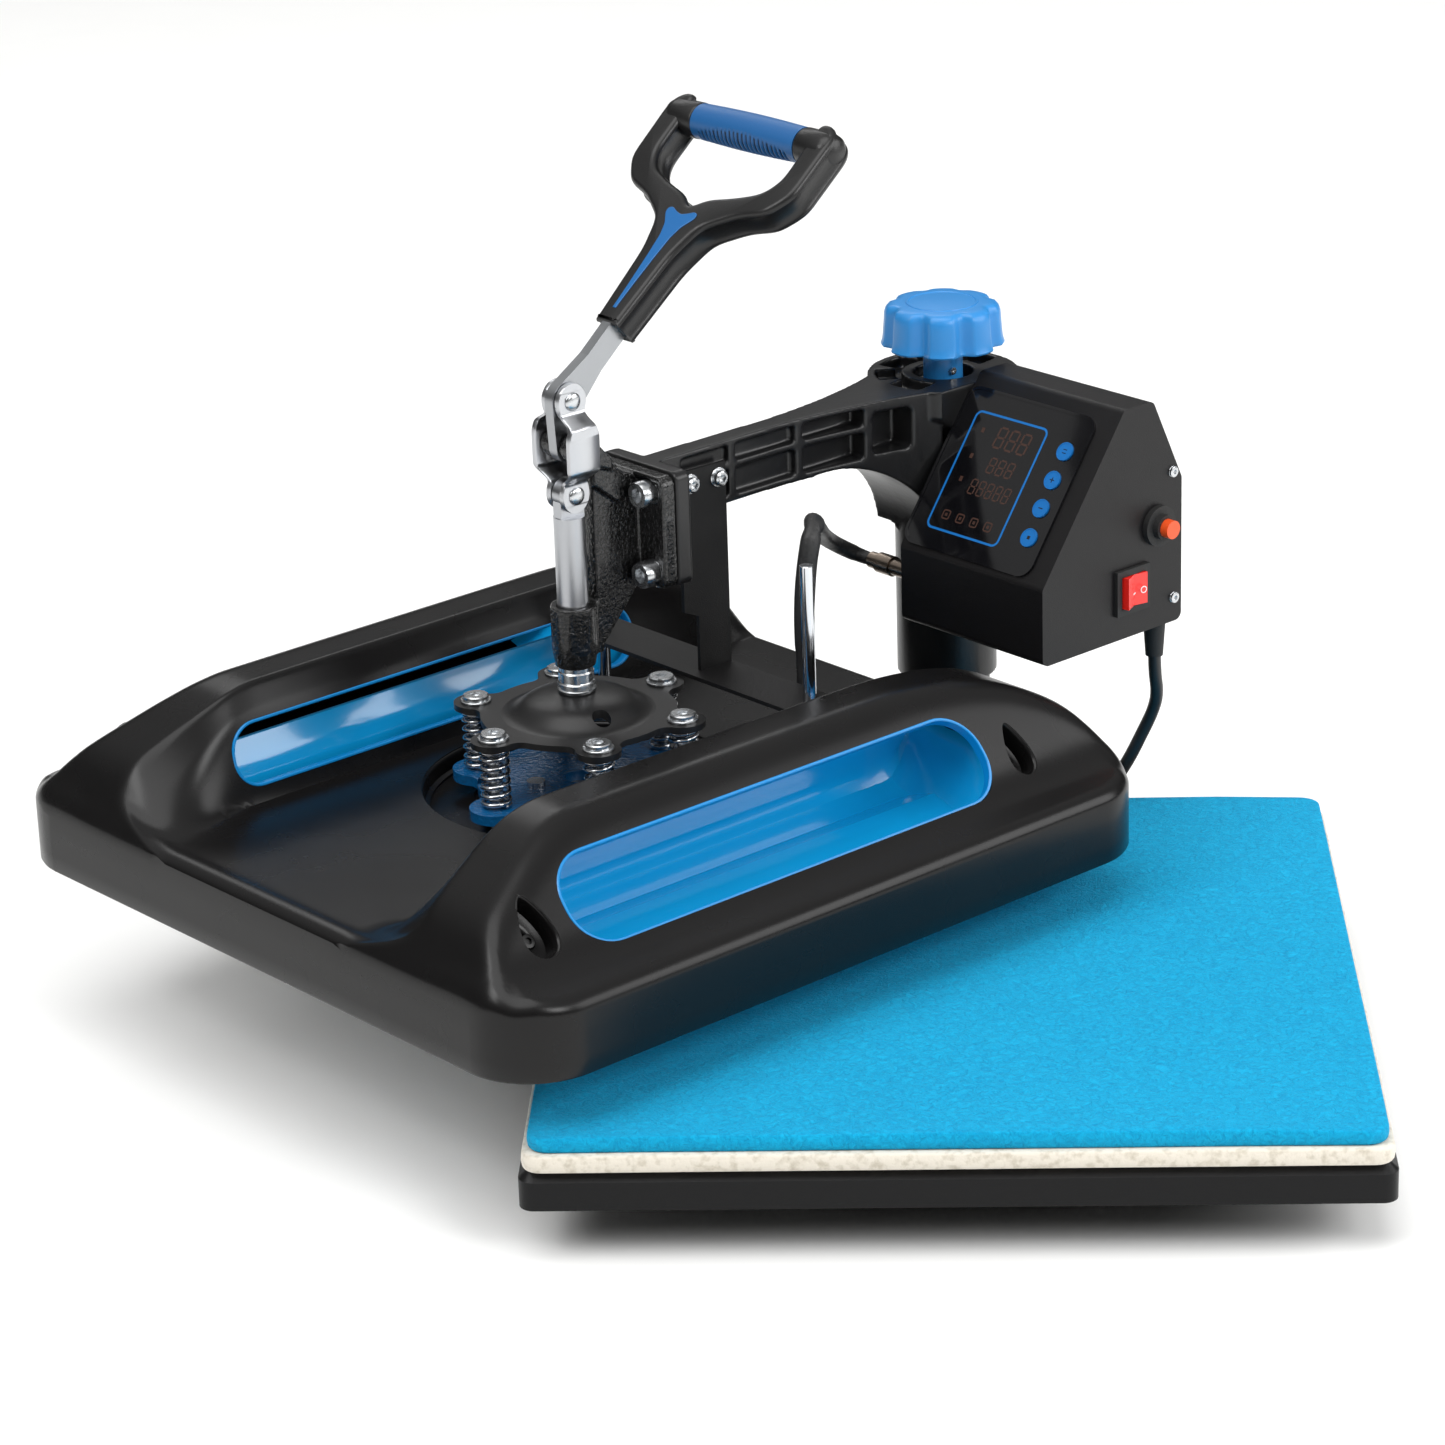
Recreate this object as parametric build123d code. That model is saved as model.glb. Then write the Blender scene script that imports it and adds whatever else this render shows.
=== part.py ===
from build123d import *
import math
import os

# A swing-away heat press. Millimetres. The origin is on the column's axis at the table's height;
# +X is the user's right, +Y is away from the user, +Z is up.
# Everything that turns with the arm is drawn with the platen over the pad, then turned to its rest place.

# ---- base ----
plate_size = 380.0
plate_bottom = 25.5
plate_thick = 19.0
plate_chamfer = 5.5
felt_thick = 8.2
pad_thick = 8.1
platen_y = -245.0
spine_front = -395.0
spine_rear = 58.0
spine_bottom = 5.5
post_r = 20.0
post_top = 236.0
flange_r = 48.0

# ---- arm ----
swing_out = 46.0
sleeve_r = 25.5
sleeve_bottom = 111.5
arm_top = 270.0
arm_half = 6.0
arm_under = 238.5
jaw_y = -202.0
jaw_low = 213.5
jaw_half = 27.5
running = 0.06

# ---- toggle: fixed pivot, upper rivet and plunger pin stand on one vertical line when open ----
toggle_y = -245.5
crank = 22.5
link_length = 46.0
rivet_z = 311.1
pivot_z = rivet_z - crank
pin_z = rivet_z - link_length
handle_lean = 50.0
bar_half = 2.9
link_thick = 3.0

# ---- handle, measured along the lever from the upper rivet ----
stem_start = 41.0
stem_end = 101.0
grip_along = 160.5
grip_half = 36.0
handle_half_thick = 6.0

# ---- platen ----
cover_size_x = 392.0
cover_size_y = 394.0
cover_corner = 36.0
cover_bottom = 85.8
cover_shoulder = 121.0
cover_wall = 3.0
cover_ahead = 2.0
valley_floor = 118.5
valley_half = 88.0
ridge_z = 174.8
ridge_in = 105.5
ridge_out = 132.5
valley_hole_r = 77.0
heater_bottom = 85.4
heater_thick = 12.0
heater_size = 376.0
spider_top = 156.0
spider_thick = 3.0
lower_spider_z = 117.0
lower_spider_thick = 5.0
bolt_circle_r = 52.5
bolt_angles = [30, 90, 150, 210, 270, 330]

# ---- control box ----
box_left = 27.0
box_right = 123.0
box_sheet = 1.5
box_profile = [(-57, 158.5), (-57, 198), (0, 275.5), (20, 275.5), (40.5, 232.5), (40.5, 158.5)]
panel_tilt = math.degrees(math.atan2(57, 77.5))
panel_across = 70.0
panel_along = 45.5
button_across = [102.3, 102.6, 103.4, 104.2]
button_along = [68.2, 52.9, 38.0, 22.5]

# ---- pressure knob ----
knob_low = 284.3
knob_high = 306.5
knob_r = 31.4
screw_r = 7.9

# ---- mains lead, in the rest pose ----
cord_r = 3.25
gland_place = (114.0, 33.0)
coil_centre = (127.0, -2.0)
coil_inner_r = 29.5
coil_outer_r = 42.5
coil_high = 19.5
split_gap = 0.4

os.makedirs("parts", exist_ok=True)


# ------------------------------------------------------------------ helpers
def block(x0, x1, y0, y1, z0, z1):
    """A box between two corners."""
    centre = Pos((x0 + x1) / 2, (y0 + y1) / 2, (z0 + z1) / 2)
    return centre * Box(x1 - x0, y1 - y0, z1 - z0)


def upright(x, y, z0, z1, r):
    """A cylinder along Z."""
    return Pos(x, y, (z0 + z1) / 2) * Cylinder(r, z1 - z0)


def across(x0, x1, y, z, r):
    """A cylinder along X."""
    return Pos((x0 + x1) / 2, y, z) * Rot(0, 90, 0) * Cylinder(r, x1 - x0)


def along_y(x, y0, y1, z, r):
    """A cylinder along Y."""
    return Pos(x, (y0 + y1) / 2, z) * Rot(90, 0, 0) * Cylinder(r, y1 - y0)


def cone_up(x, y, z0, z1, r0, r1):
    """A cone along Z, r0 at z0 and r1 at z1."""
    return Pos(x, y, (z0 + z1) / 2) * Cone(r0, r1, z1 - z0)


def slab_yz(points, x0, x1, corner=0.0):
    """An outline in the YZ plane, made solid from x0 to x1."""
    outline = make_face(Polyline([(y, z) for y, z in points], close=True))
    if corner > 0:
        outline = fillet(outline.vertices(), corner)
    return Pos(x0, 0, 0) * extrude(Plane.YZ * outline, amount=x1 - x0)


def slab_xz(points, y0, y1, corner=0.0):
    """An outline in the XZ plane, made solid from y0 to y1."""
    outline = make_face(Polyline([(x, z) for x, z in points], close=True))
    if corner > 0:
        outline = fillet(outline.vertices(), corner)
    return Pos(0, y1, 0) * extrude(Plane.XZ * outline, amount=y1 - y0)


def mirrored(part):
    """The part and its mirror image across the arm's centre plane."""
    return Compound(children=[part, mirror(part, about=Plane.YZ)])


def swung(part):
    """Turns a part of the upper arm from over the pad to its rest place."""
    return Rot(0, 0, -swing_out) * part


def group(parts):
    """Separate solids in one node."""
    return Compound(children=list(parts))


def write(name, part):
    """Writes one node as parts/NAME.step."""
    export_step(part, f"parts/{name}.step")


def tube_along(points, r):
    """A round tube whose route is straight runs joined by arcs as large as the runs allow."""
    route = [Vector(*p) for p in points]
    radii = []
    for before, here, after in zip(route, route[1:], route[2:]):
        turn = (here - before).get_angle(after - here)
        shorter = min((here - before).length, (after - here).length)
        radii.append(0.45 * shorter / math.tan(math.radians(turn) / 2))
    path = FilletPolyline(*route, radius=radii)
    start = Plane(origin=path @ 0, z_dir=path % 0)
    tube = sweep(start * Circle(r), path=path)
    share = tube.volume / (math.pi * r * r * path.length)
    print("tube length", round(path.length, 1), "volume share", round(share, 4))
    print("  radii", [round(v) for v in radii])
    return tube


# ------------------------------------------------------------------ base
def base_frame():
    """The steel spine from under the plate back to the post."""
    section = [(-56, spine_bottom), (56, spine_bottom), (65.5, plate_bottom), (-65.5, plate_bottom)]
    spine = slab_xz(section, spine_front, spine_rear)
    for x in (-40, 40):
        for y in (-350, -140):
            spine -= upright(x, y, 0, plate_bottom + 1, 4.3)
    for angle in (45, 135, 225, 315):
        x = 36 * math.cos(math.radians(angle))
        y = 36 * math.sin(math.radians(angle))
        spine -= upright(x, y, 8, plate_bottom + 1, 4.3)
    return spine


def base_plate():
    """The cast lower plate, with sloping top edges."""
    plate = block(-190, 190, platen_y - 190, platen_y + 190, plate_bottom, plate_bottom + plate_thick)
    plate = fillet(plate.edges().filter_by(Axis.Z), 7)
    plate = chamfer(plate.faces().sort_by(Axis.Z)[-1].edges(), plate_chamfer)
    for x in (-40, 40):
        for y in (-350, -140):
            plate -= upright(x, y, 0, plate_bottom + 12, 4.3)
    return plate


def pad_sheet(width, depth, corner, low, thick):
    """A flat pad with rounded corners."""
    outline = Pos(0, platen_y) * RectangleRounded(width, depth, corner)
    pad = extrude(Pos(0, 0, low) * outline, amount=thick)
    return fillet(pad.faces().sort_by(Axis.Z)[-1].edges(), 1.5)


def rubber_feet():
    """Four feet set in under the plate and one wide pad under the column."""
    feet = []
    for x in (-126, 126):
        for y in (-365, -125):
            feet.append(cone_up(x, y, 0, plate_bottom, 17, 19))
    pad = block(-50, 50, -10, 54, 0, spine_bottom)
    feet.append(fillet(pad.edges().filter_by(Axis.Z), 8))
    return group(feet)


def post():
    """The column post, welded to a round flange, with a threaded hole down its top."""
    body = upright(0, 0, plate_bottom, post_top, post_r)
    body += upright(0, 0, plate_bottom, plate_bottom + 8, flange_r)
    body -= upright(0, 0, 170, post_top + 1, screw_r + running)
    for angle in (45, 135, 225, 315):
        x = 36 * math.cos(math.radians(angle))
        y = 36 * math.sin(math.radians(angle))
        body -= upright(x, y, plate_bottom - 1, plate_bottom + 9, 4.3)
    return body


def hex_bolt(x, y, head_z, length, r):
    """A hexagon-head bolt pointing down from head_z."""
    head = extrude(Pos(x, y, head_z) * RegularPolygon(r * 1.75, 6), amount=r * 1.3)
    return head + upright(x, y, head_z - length, head_z, r)


def post_bolts():
    """Four bolts through the post's flange."""
    bolts = []
    for angle in (45, 135, 225, 315):
        x = 36 * math.cos(math.radians(angle))
        y = 36 * math.sin(math.radians(angle))
        bolts.append(hex_bolt(x, y, plate_bottom + 8, 24, 4))
    return group(bolts)


def thrust_washer():
    """The washer on the post's top that turns with the arm."""
    return upright(0, 0, post_top, post_top + 3, 19.5) - upright(0, 0, post_top - 1, post_top + 4, 9)


# ------------------------------------------------------------------ arm
def arm_outline():
    """The arm's side view: level top, level underside, and a curve down into the sleeve."""
    line = Line((jaw_y + 4, arm_top), (0, arm_top))
    down = Line((0, arm_top), (0, 190))
    foot = Line((0, 190), (-24, 190))
    under = Spline((-24, 190), (-32, 211), (-50, 228.5), (-95, arm_under))
    level = Line((-95, arm_under), (jaw_y + 4, arm_under))
    end = Line((jaw_y + 4, arm_under), (jaw_y + 4, arm_top))
    return make_face([line, down, foot, under, level, end])


def arm_flare():
    """Where the web widens into the boss: curved in plan, and in the side view like the web."""
    front = (-6, -118)
    right = Spline((6, -118), (8.5, -88), (14, -58), (24.5, -24))
    left = Spline((-24.5, -24), (-14, -58), (-8.5, -88), front)
    edges = [right, Line((24.5, -24), (-24.5, -24)), left, Line(front, (6, -118))]
    wide = Pos(0, 0, 170) * extrude(make_face(edges), amount=arm_top - 170)
    return wide & (Pos(-30, 0, 0) * extrude(Plane.YZ * arm_outline(), amount=60))


def arm_casting():
    """The cast arm: column sleeve and boss, ribbed web with pockets, and the jaw flange."""
    web = Pos(-arm_half, 0, 0) * extrude(Plane.YZ * arm_outline(), amount=2 * arm_half)
    arm = web + arm_flare()
    pockets = []
    for y0, y1 in ((-180, -150), (-145.5, -107), (-102, -66)):
        for z0, z1 in ((242, 255.2), (258.6, 267.2)):
            pocket = block(2.5, 20, y0, y1, z0, z1)
            pockets.append(fillet(pocket.edges().filter_by(Axis.X), 2))
    deep = block(4.5, 40, -61.5, -40, 243, 264)
    pockets.append(fillet(deep.edges().filter_by(Axis.X), 3))
    for pocket in pockets:
        arm -= pocket
        arm -= mirror(pocket, about=Plane.YZ)
    sleeve = upright(0, 0, sleeve_bottom, arm_top, sleeve_r)
    boss = cone_up(0, 0, 244, 256, 26, 38) + upright(0, 0, 256, arm_top, 38)
    arm += sleeve + boss
    jaw = block(-jaw_half, jaw_half, jaw_y, jaw_y + 8.5, jaw_low, arm_top)
    jaw = fillet(jaw.edges().filter_by(Axis.Y), 4)
    gusset = slab_yz([(jaw_y + 8, jaw_low + 4), (jaw_y + 8, arm_under + 1), (-165, arm_under + 1)],
                     -arm_half, arm_half)
    arm += jaw + gusset
    arm += block(20, box_left, -12, 12, 196, 240)
    arm -= block(26.6, 60, -60, 60, 241, 300)
    for angle in (100, 145, 190, 235, 280):
        arc = upright(0, 0, arm_top - 6, arm_top + 1, 34) - upright(0, 0, arm_top - 7, arm_top + 2, 21)
        wedge = Rot(0, 0, angle) * block(0, 50, -9, 9, arm_top - 6, arm_top + 1)
        arm -= arc & wedge
    arm -= upright(0, 0, 263, arm_top + 1, 15)
    arm -= upright(0, 0, sleeve_bottom - 1, 252, 22.05)
    arm -= upright(0, 0, 250, arm_top + 1, screw_r + 0.1)
    for x in (-15, 15):
        for z in (220, 260):
            arm -= along_y(x, jaw_y - 1, jaw_y + 9, z, 4.05)
    for y, z in ((-177, 254.8), (-159, 254.0)):
        arm -= across(-1, 7, y, z, 2.55)
    return arm


def sleeve_bush():
    """The flanged plain bearing in the sleeve's mouth."""
    bush = upright(0, 0, sleeve_bottom - 6, sleeve_bottom, 21.8)
    bush += upright(0, 0, sleeve_bottom, sleeve_bottom + 45, 22.0)
    return bush - upright(0, 0, 90, 170, post_r + running)


def toggle_casting():
    """The casting on the arm's end: bolted plate, web, plunger barrel and the two pivot ears."""
    plate = block(-jaw_half + 1, jaw_half - 1, jaw_y - 6, jaw_y, jaw_low, arm_top - 1)
    plate = fillet(plate.edges().filter_by(Axis.Y), 5)
    border = block(-jaw_half + 1, jaw_half - 1, jaw_y - 8, jaw_y - 5.5, jaw_low, arm_top - 1)
    border = fillet(border.edges().filter_by(Axis.Y), 5)
    border -= block(-jaw_half + 4, jaw_half - 4, jaw_y - 9, jaw_y, jaw_low + 3, arm_top - 4)
    web_outline = [(-235, 184), (-235, 284), (-229, 280), (-216, 270), (jaw_y - 4, 266), (jaw_y - 4, 216)]
    web = slab_yz(web_outline, -6, 6)
    ears = [(-247, 282.5), (-247, 295.5), (-239.5, 295.5), (-231, 285), (-226, 280), (-226, 274)]
    ear_block = slab_yz(ears, -10.3, 10.3)
    ear_block += across(-10.3, 10.3, toggle_y, pivot_z, 7.0)
    neck = slab_yz([(-236, 268), (-236, 287), (-226, 279), (-221, 272), (-221, 256)], -9, 9)
    casting = plate + border + web + ear_block + neck
    barrel = cone_up(0, toggle_y, 179.5, 188, 9.6, 11) + upright(0, toggle_y, 188, 210, 11)
    casting += barrel + block(-6, 6, -240, -232, 184, 208)
    casting -= block(-bar_half - 0.5, bar_half + 0.5, -260, -234.5, 262, 320)
    casting -= upright(0, toggle_y, 170, 262, 7.5 + running)
    casting -= across(-12, 12, toggle_y, pivot_z, 4.05)
    for x in (-15, 15):
        for z in (220, 260):
            casting -= along_y(x, jaw_y - 9, jaw_y + 1, z, 4.3)
            casting -= along_y(x, jaw_y - 9, jaw_y - 6, z, 7.0)
    return casting


def casting_bolts():
    """Four socket cap screws that hold the casting on the jaw."""
    screws = []
    for x in (-15, 15):
        for z in (220, 260):
            head = along_y(x, jaw_y - 14, jaw_y - 6, z, 6.4)
            socket = Pos(x, jaw_y - 14, z) * Rot(90, 0, 0) * extrude(RegularPolygon(3.4, 6), amount=4, both=True)
            shank = along_y(x, jaw_y - 6, jaw_y + 10, z, 4)
            screws.append(head - socket + shank)
    return group(screws)


def pivot_pin():
    """The lever's fixed pivot, held in the two ears."""
    return across(-10.3, 10.3, toggle_y, pivot_z, 4.0)


def guide_bracket():
    """The sheet bracket on the arm's right side that carries the guide crossbar."""
    outline = [(-183, 261.5), (-154, 261.0), (-154, 158.8), (-174, 158.8), (-174, 187), (-183, 191)]
    sheet = slab_yz(outline, arm_half, arm_half + 2)
    for y, z in ((-177, 254.8), (-159, 254.0)):
        sheet -= across(5, 9, y, z, 2.7)
    return sheet


def bracket_screws():
    """Two pan-head screws with washers."""
    screws = []
    for y, z in ((-177, 254.8), (-159, 254.0)):
        head = across(arm_half + 2, arm_half + 3, y, z, 5.0) + across(arm_half + 3, arm_half + 6, y, z, 4.0)
        screws.append(head + across(0, arm_half + 2, y, z, 2.5))
    return group(screws)


def guide_crossbar():
    """The flat bar across the valley that the two guide rods slide through."""
    bar = block(-84, 84, -181, -153, 156.8, 158.8)
    for x in (-76, 76):
        bar -= upright(x, -165, 150, 165, 3.3 + running)
    return bar


# ------------------------------------------------------------------ control box
def on_panel(across_x, along, out=0.0):
    """A place on the box's sloping face: across, up the slope, and out of the face."""
    tilt = math.radians(panel_tilt)
    y = -57 + along * math.sin(tilt) - out * math.cos(tilt)
    z = 198 + along * math.cos(tilt) + out * math.sin(tilt)
    return Location((across_x, y, z), (90 - panel_tilt, 0, 0))


def control_box():
    """The folded sheet shell, open on its right side."""
    outline = make_face(Polyline(box_profile, close=True))
    outline = fillet(outline.vertices(), 4)
    inner = offset(outline, -box_sheet)
    shell = Pos(box_left, 0, 0) * extrude(Plane.YZ * outline, amount=box_right - box_left)
    shell -= Pos(box_left + box_sheet, 0, 0) * extrude(Plane.YZ * inner, amount=box_right)
    shell -= on_panel(panel_across, panel_along) * Box(80.5, 76, 12)
    shell -= across(box_left - 1, box_left + 3, -42, 178, 4.4)
    shell -= upright(gland_place[0], gland_place[1], 150, 165, 5.1)
    for y, z in ((-8, 206), (8, 230)):
        shell -= across(box_left - 1, box_left + 3, y, z, 2.1)
    return shell


def side_plate():
    """The flat right side of the box, with holes for the rocker and the breaker."""
    plate = slab_yz(box_profile, box_right, box_right + 2, 4)
    plate -= block(box_right - 1, box_right + 3, -5.4, 14.2, 173.2, 192.8)
    plate -= across(box_right - 1, box_right + 3, 23, 211.5, 6.1)
    for y, z in ((34, 236.5), (35, 171)):
        plate -= across(box_right - 1, box_right + 3, y, z, 1.9)
    return plate


def box_screws():
    """Two screws in the side plate and two that hold the box on the arm's pad."""
    screws = []
    for y, z in ((34, 236.5), (35, 171)):
        dome = across(box_right + 2, box_right + 3.2, y, z, 3.2)
        screws.append(dome + across(box_right - 4, box_right + 2, y, z, 1.8))
    for y, z in ((-8, 206), (8, 230)):
        head = across(box_left + box_sheet, box_left + 4, y, z, 4.0)
        screws.append(head + across(box_left, box_left + box_sheet, y, z, 2.0))
    return group(screws)


def display_panel():
    """The dark window and keypad plate, glued over the shell's opening."""
    outline = RectangleRounded(86, 84, 7)
    plate = on_panel(panel_across, panel_along, 0.05) * extrude(outline, amount=1.2)
    for across_x, along in zip(button_across, button_along):
        plate -= on_panel(across_x, along) * Cylinder(4.95, 12)
    return plate


def push_button(across_x, along):
    """One round button through the keypad plate."""
    return on_panel(across_x, along, -0.6) * Cylinder(4.8, 5.2)


def circuit_board():
    """The board behind the panel, set back on the buttons' switches."""
    return on_panel(panel_across, panel_along, -8) * Box(72, 72, 1.6)


def relay():
    """The solid-state relay on the shell's floor."""
    return block(60, 104, -40, -12, 160.2, 182)


def rocker_bezel():
    """The rocker switch's frame and body."""
    frame = block(box_right + 2, box_right + 4.2, -7.1, 15.9, 171.5, 194.5)
    frame += block(box_right - 16, box_right + 2, -5.2, 14.0, 173.4, 192.6)
    return frame - block(box_right - 6, box_right + 5, -3.9, 12.7, 174.7, 191.3)


def rocker_key():
    """The red key, a shallow V that stands out on its left half."""
    outline = [(-7.6, 0.5), (-7.6, 4.6), (0, 2.0), (7.6, 4.6), (7.6, 0.5), (0, -3.5)]
    key = extrude(make_face(Polyline(outline, close=True)), amount=16)
    turned = Location((box_right + 2, 4.4, 175), (0, 0, 97)) * mirror(key, about=Plane.XZ)
    return turned


def breaker_body():
    """The round breaker: ring nut, threaded neck and the body inside the box."""
    body = across(box_right - 20, box_right + 2, 23, 211.5, 6.0)
    body += across(box_right + 2, box_right + 5, 23, 211.5, 10.2)
    body += across(box_right + 5, box_right + 8.5, 23, 211.5, 6.4)
    return body - across(box_right, box_right + 12, 23, 211.5, 4.75)


def breaker_button():
    """The orange reset button."""
    return across(box_right + 2, box_right + 13, 23, 211.5, 4.6)


def heater_socket():
    """The metal connector on the box's left side that the heater cable plugs into."""
    body = across(6, box_left + 3, -42, 178, 4.3)
    body += across(box_left - 4, box_left, -42, 178, 6.2)
    body += across(-4, 6, -42, 178, 5.2) + across(-10, -4, -42, 178, 4.2)
    return body


def heater_cable():
    """The sleeved cable from the connector over and down into the cover."""
    route = [(-10.2, -42, 178), (-20, -42, 178), (-23, -59, 189), (-10, -78, 202), (10, -97, 213), (32, -119, 225)]
    route += [(51, -136, 236), (57, -144, 232), (56, -147, 216), (54, -147.5, 192), (52.5, -147, 160)]
    route += [(52, -147, 119)]
    return tube_along(route, 4.0)


def cord_gland():
    """The tapered strain relief under the box, a loose fit on the cord."""
    x, y = gland_place
    low = box_profile[0][1]
    body = cone_up(x, y, low - 20, low - 2, 4.4, 5.6) + upright(x, y, low - 2, low, 7)
    body += upright(x, y, low, low + 8, 5.0)
    return body - upright(x, y, low - 30, low + 20, cord_r + 0.35)


# ------------------------------------------------------------------ knob
def knob():
    """The eight-lobed pressure knob with its stub."""
    outline = Circle(knob_r - 1.2)
    for step in range(8):
        angle = math.radians(45 * step + 22.5)
        outline -= Pos(38.5 * math.cos(angle), 38.5 * math.sin(angle)) * Circle(11)
    outline = fillet(outline.vertices(), 4)
    body = extrude(Pos(0, 0, knob_low) * outline, amount=knob_high - knob_low, taper=2)
    body = fillet(body.faces().sort_by(Axis.Z)[-1].edges(), 2.5)
    body += upright(0, 0, knob_low - 19.8, knob_low, 10)
    return body - upright(0, 0, 250, knob_low + 14, screw_r)


def pressure_screw():
    """The threaded rod from the knob down into the post."""
    return upright(0, 0, 186, knob_low + 14, screw_r)


# ------------------------------------------------------------------ handle, drawn in its own plane
def on_handle(part):
    """Places a part drawn with X across, Y up the lever and Z out of its front face."""
    return Location((0, toggle_y, rivet_z), (90 - handle_lean, 0, 0)) * part


def lever_bar():
    """The flat steel lever: pivot eye, rivet eye and the shank in the handle."""
    lean = math.radians(handle_lean)
    side = Pos(toggle_y, rivet_z)
    shank = side * Rot(0, 0, 90 - handle_lean) * Pos(38, 0) * Rectangle(76, 12)
    waist = make_hull((side * Circle(9.2) + Pos(toggle_y, pivot_z) * Circle(7.8)).edges())
    flare = make_hull((side * Circle(9.2)
                       + side * Pos(22 * math.sin(lean), 22 * math.cos(lean)) * Circle(6)).edges())
    outline = shank + waist + flare
    outline -= Pos(toggle_y, pivot_z) * Circle(4.0 + running)
    outline -= side * Circle(3.0 + running)
    return Pos(-bar_half, 0, 0) * extrude(Plane.YZ * outline, amount=2 * bar_half)


def handle_outline():
    """Half of the D frame, in the handle's plane."""
    return [(0, stem_start), (7.8, stem_start), (10.2, stem_end - 18), (15.5, 101), (32, 111.5), (48, 116.5),
            (57.5, 129), (58, 164), (52, 170.5), (44, 170.5), (44, 136), (38, 127), (24, 121.5), (8, 117), (0, 109.5)]


def handle_frame():
    """The moulded D frame, with its sockets for the grip and its slot for the lever."""
    right = make_face(Polyline(handle_outline(), close=True))
    outline = right + mirror(right, about=Plane.YZ)
    body = extrude(outline, amount=handle_half_thick, both=True)
    long_edges = body.faces().filter_by(Axis.Z).edges()
    body = chamfer(long_edges, 2.2)
    body += Pos(0, grip_along, 0) * Rot(0, 90, 0) * Cylinder(6, 100)
    for side in (-1, 1):
        body += Pos(side * 45, grip_along, 0) * Rot(0, 90, 0) * Cylinder(8.6, 18)
    body -= Pos(0, 55, 0) * Box(2 * bar_half + 0.01, 42.02, 12.01)
    return on_handle(body)


def handle_inlay():
    """The blue Y-shaped inlay on the stem's front face."""
    right = make_face(Polyline([(0, 49), (1.6, 49), (3.4, 96), (9.5, 107), (8.5, 109), (0, 105)], close=True))
    outline = right + mirror(right, about=Plane.YZ)
    return on_handle(Pos(0, 0, handle_half_thick) * extrude(outline, amount=0.6))


def grip_sleeve():
    """The blue sleeve between the frame's two arms."""
    sleeve = Cylinder(9.2, 2 * grip_half - 0.2) - Cylinder(6.02, 2 * grip_half)
    return on_handle(Pos(0, grip_along, 0) * Rot(0, 90, 0) * sleeve)


# ------------------------------------------------------------------ linkage
def toggle_link():
    """The right link: flat eyes close to the lever, and a bulge round the pivot ear."""
    near, far = bar_half + 0.4, 11.0
    zs = [rivet_z + 12, rivet_z - 6.5, rivet_z - 11.5, rivet_z - 35, rivet_z - 40, pin_z - 12]
    inner = [near, near, far, far, near, near]
    outline = list(zip(inner, zs)) + [(x + link_thick, z) for x, z in zip(inner, zs)][::-1]
    bent = slab_xz(outline, toggle_y - 14, toggle_y + 14)
    eyes = Pos(toggle_y, rivet_z) * Circle(10) + Pos(toggle_y, pin_z) * Circle(8.5)
    side = make_hull(eyes.edges())
    return (bent & extrude(Plane.YZ * side, amount=30)) - across(0, 20, toggle_y, rivet_z, 3.02)


def toggle_links():
    """Both links."""
    return mirrored(toggle_link())


def link_rivets():
    """The upper rivet through the lever, and the heads of the lower one."""
    reach = bar_half + 0.4 + link_thick
    upper = across(-reach, reach, toggle_y, rivet_z, 3.0)
    for side in (-1, 1):
        upper += across(*sorted((side * reach, side * (reach + 2))), toggle_y, rivet_z, 4.6)
    lower = across(reach, reach + 2, toggle_y, pin_z, 4.6)
    return group([upper, lower, mirror(lower, about=Plane.YZ)])


# ------------------------------------------------------------------ plunger
def plunger_shaft():
    """The chromed plunger, with its flat tongue and flush pin at the top."""
    shaft = upright(0, toggle_y, 166.6, pin_z - 11, 7.5) + upright(0, toggle_y, 150, 166.6, 6.0)
    tongue = slab_yz([(toggle_y - 7, pin_z - 14), (toggle_y - 7, pin_z), (toggle_y + 7, pin_z),
                      (toggle_y + 7, pin_z - 14)], -bar_half, bar_half)
    tongue += across(-bar_half, bar_half, toggle_y, pin_z, 7.5)
    return shaft + tongue


def plunger_nut():
    """The nut and washers that clamp the plunger to the upper spider."""
    washers = upright(0, toggle_y, 166.6, 168.6, 12) + upright(0, toggle_y, 168.6, 170, 10.5)
    nut = extrude(Pos(0, toggle_y, 170) * RegularPolygon(10.4, 6), amount=6)
    return washers + nut - upright(0, toggle_y, 160, 180, 7.52)


def lobed(hub_r, lobe_r):
    """The six-lobed outline that both spiders share."""
    outline = Circle(hub_r)
    for angle in bolt_angles:
        t = math.radians(angle)
        outline += Pos(bolt_circle_r * math.cos(t), bolt_circle_r * math.sin(t)) * Circle(lobe_r)
    return fillet(outline.vertices(), 7)


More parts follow.
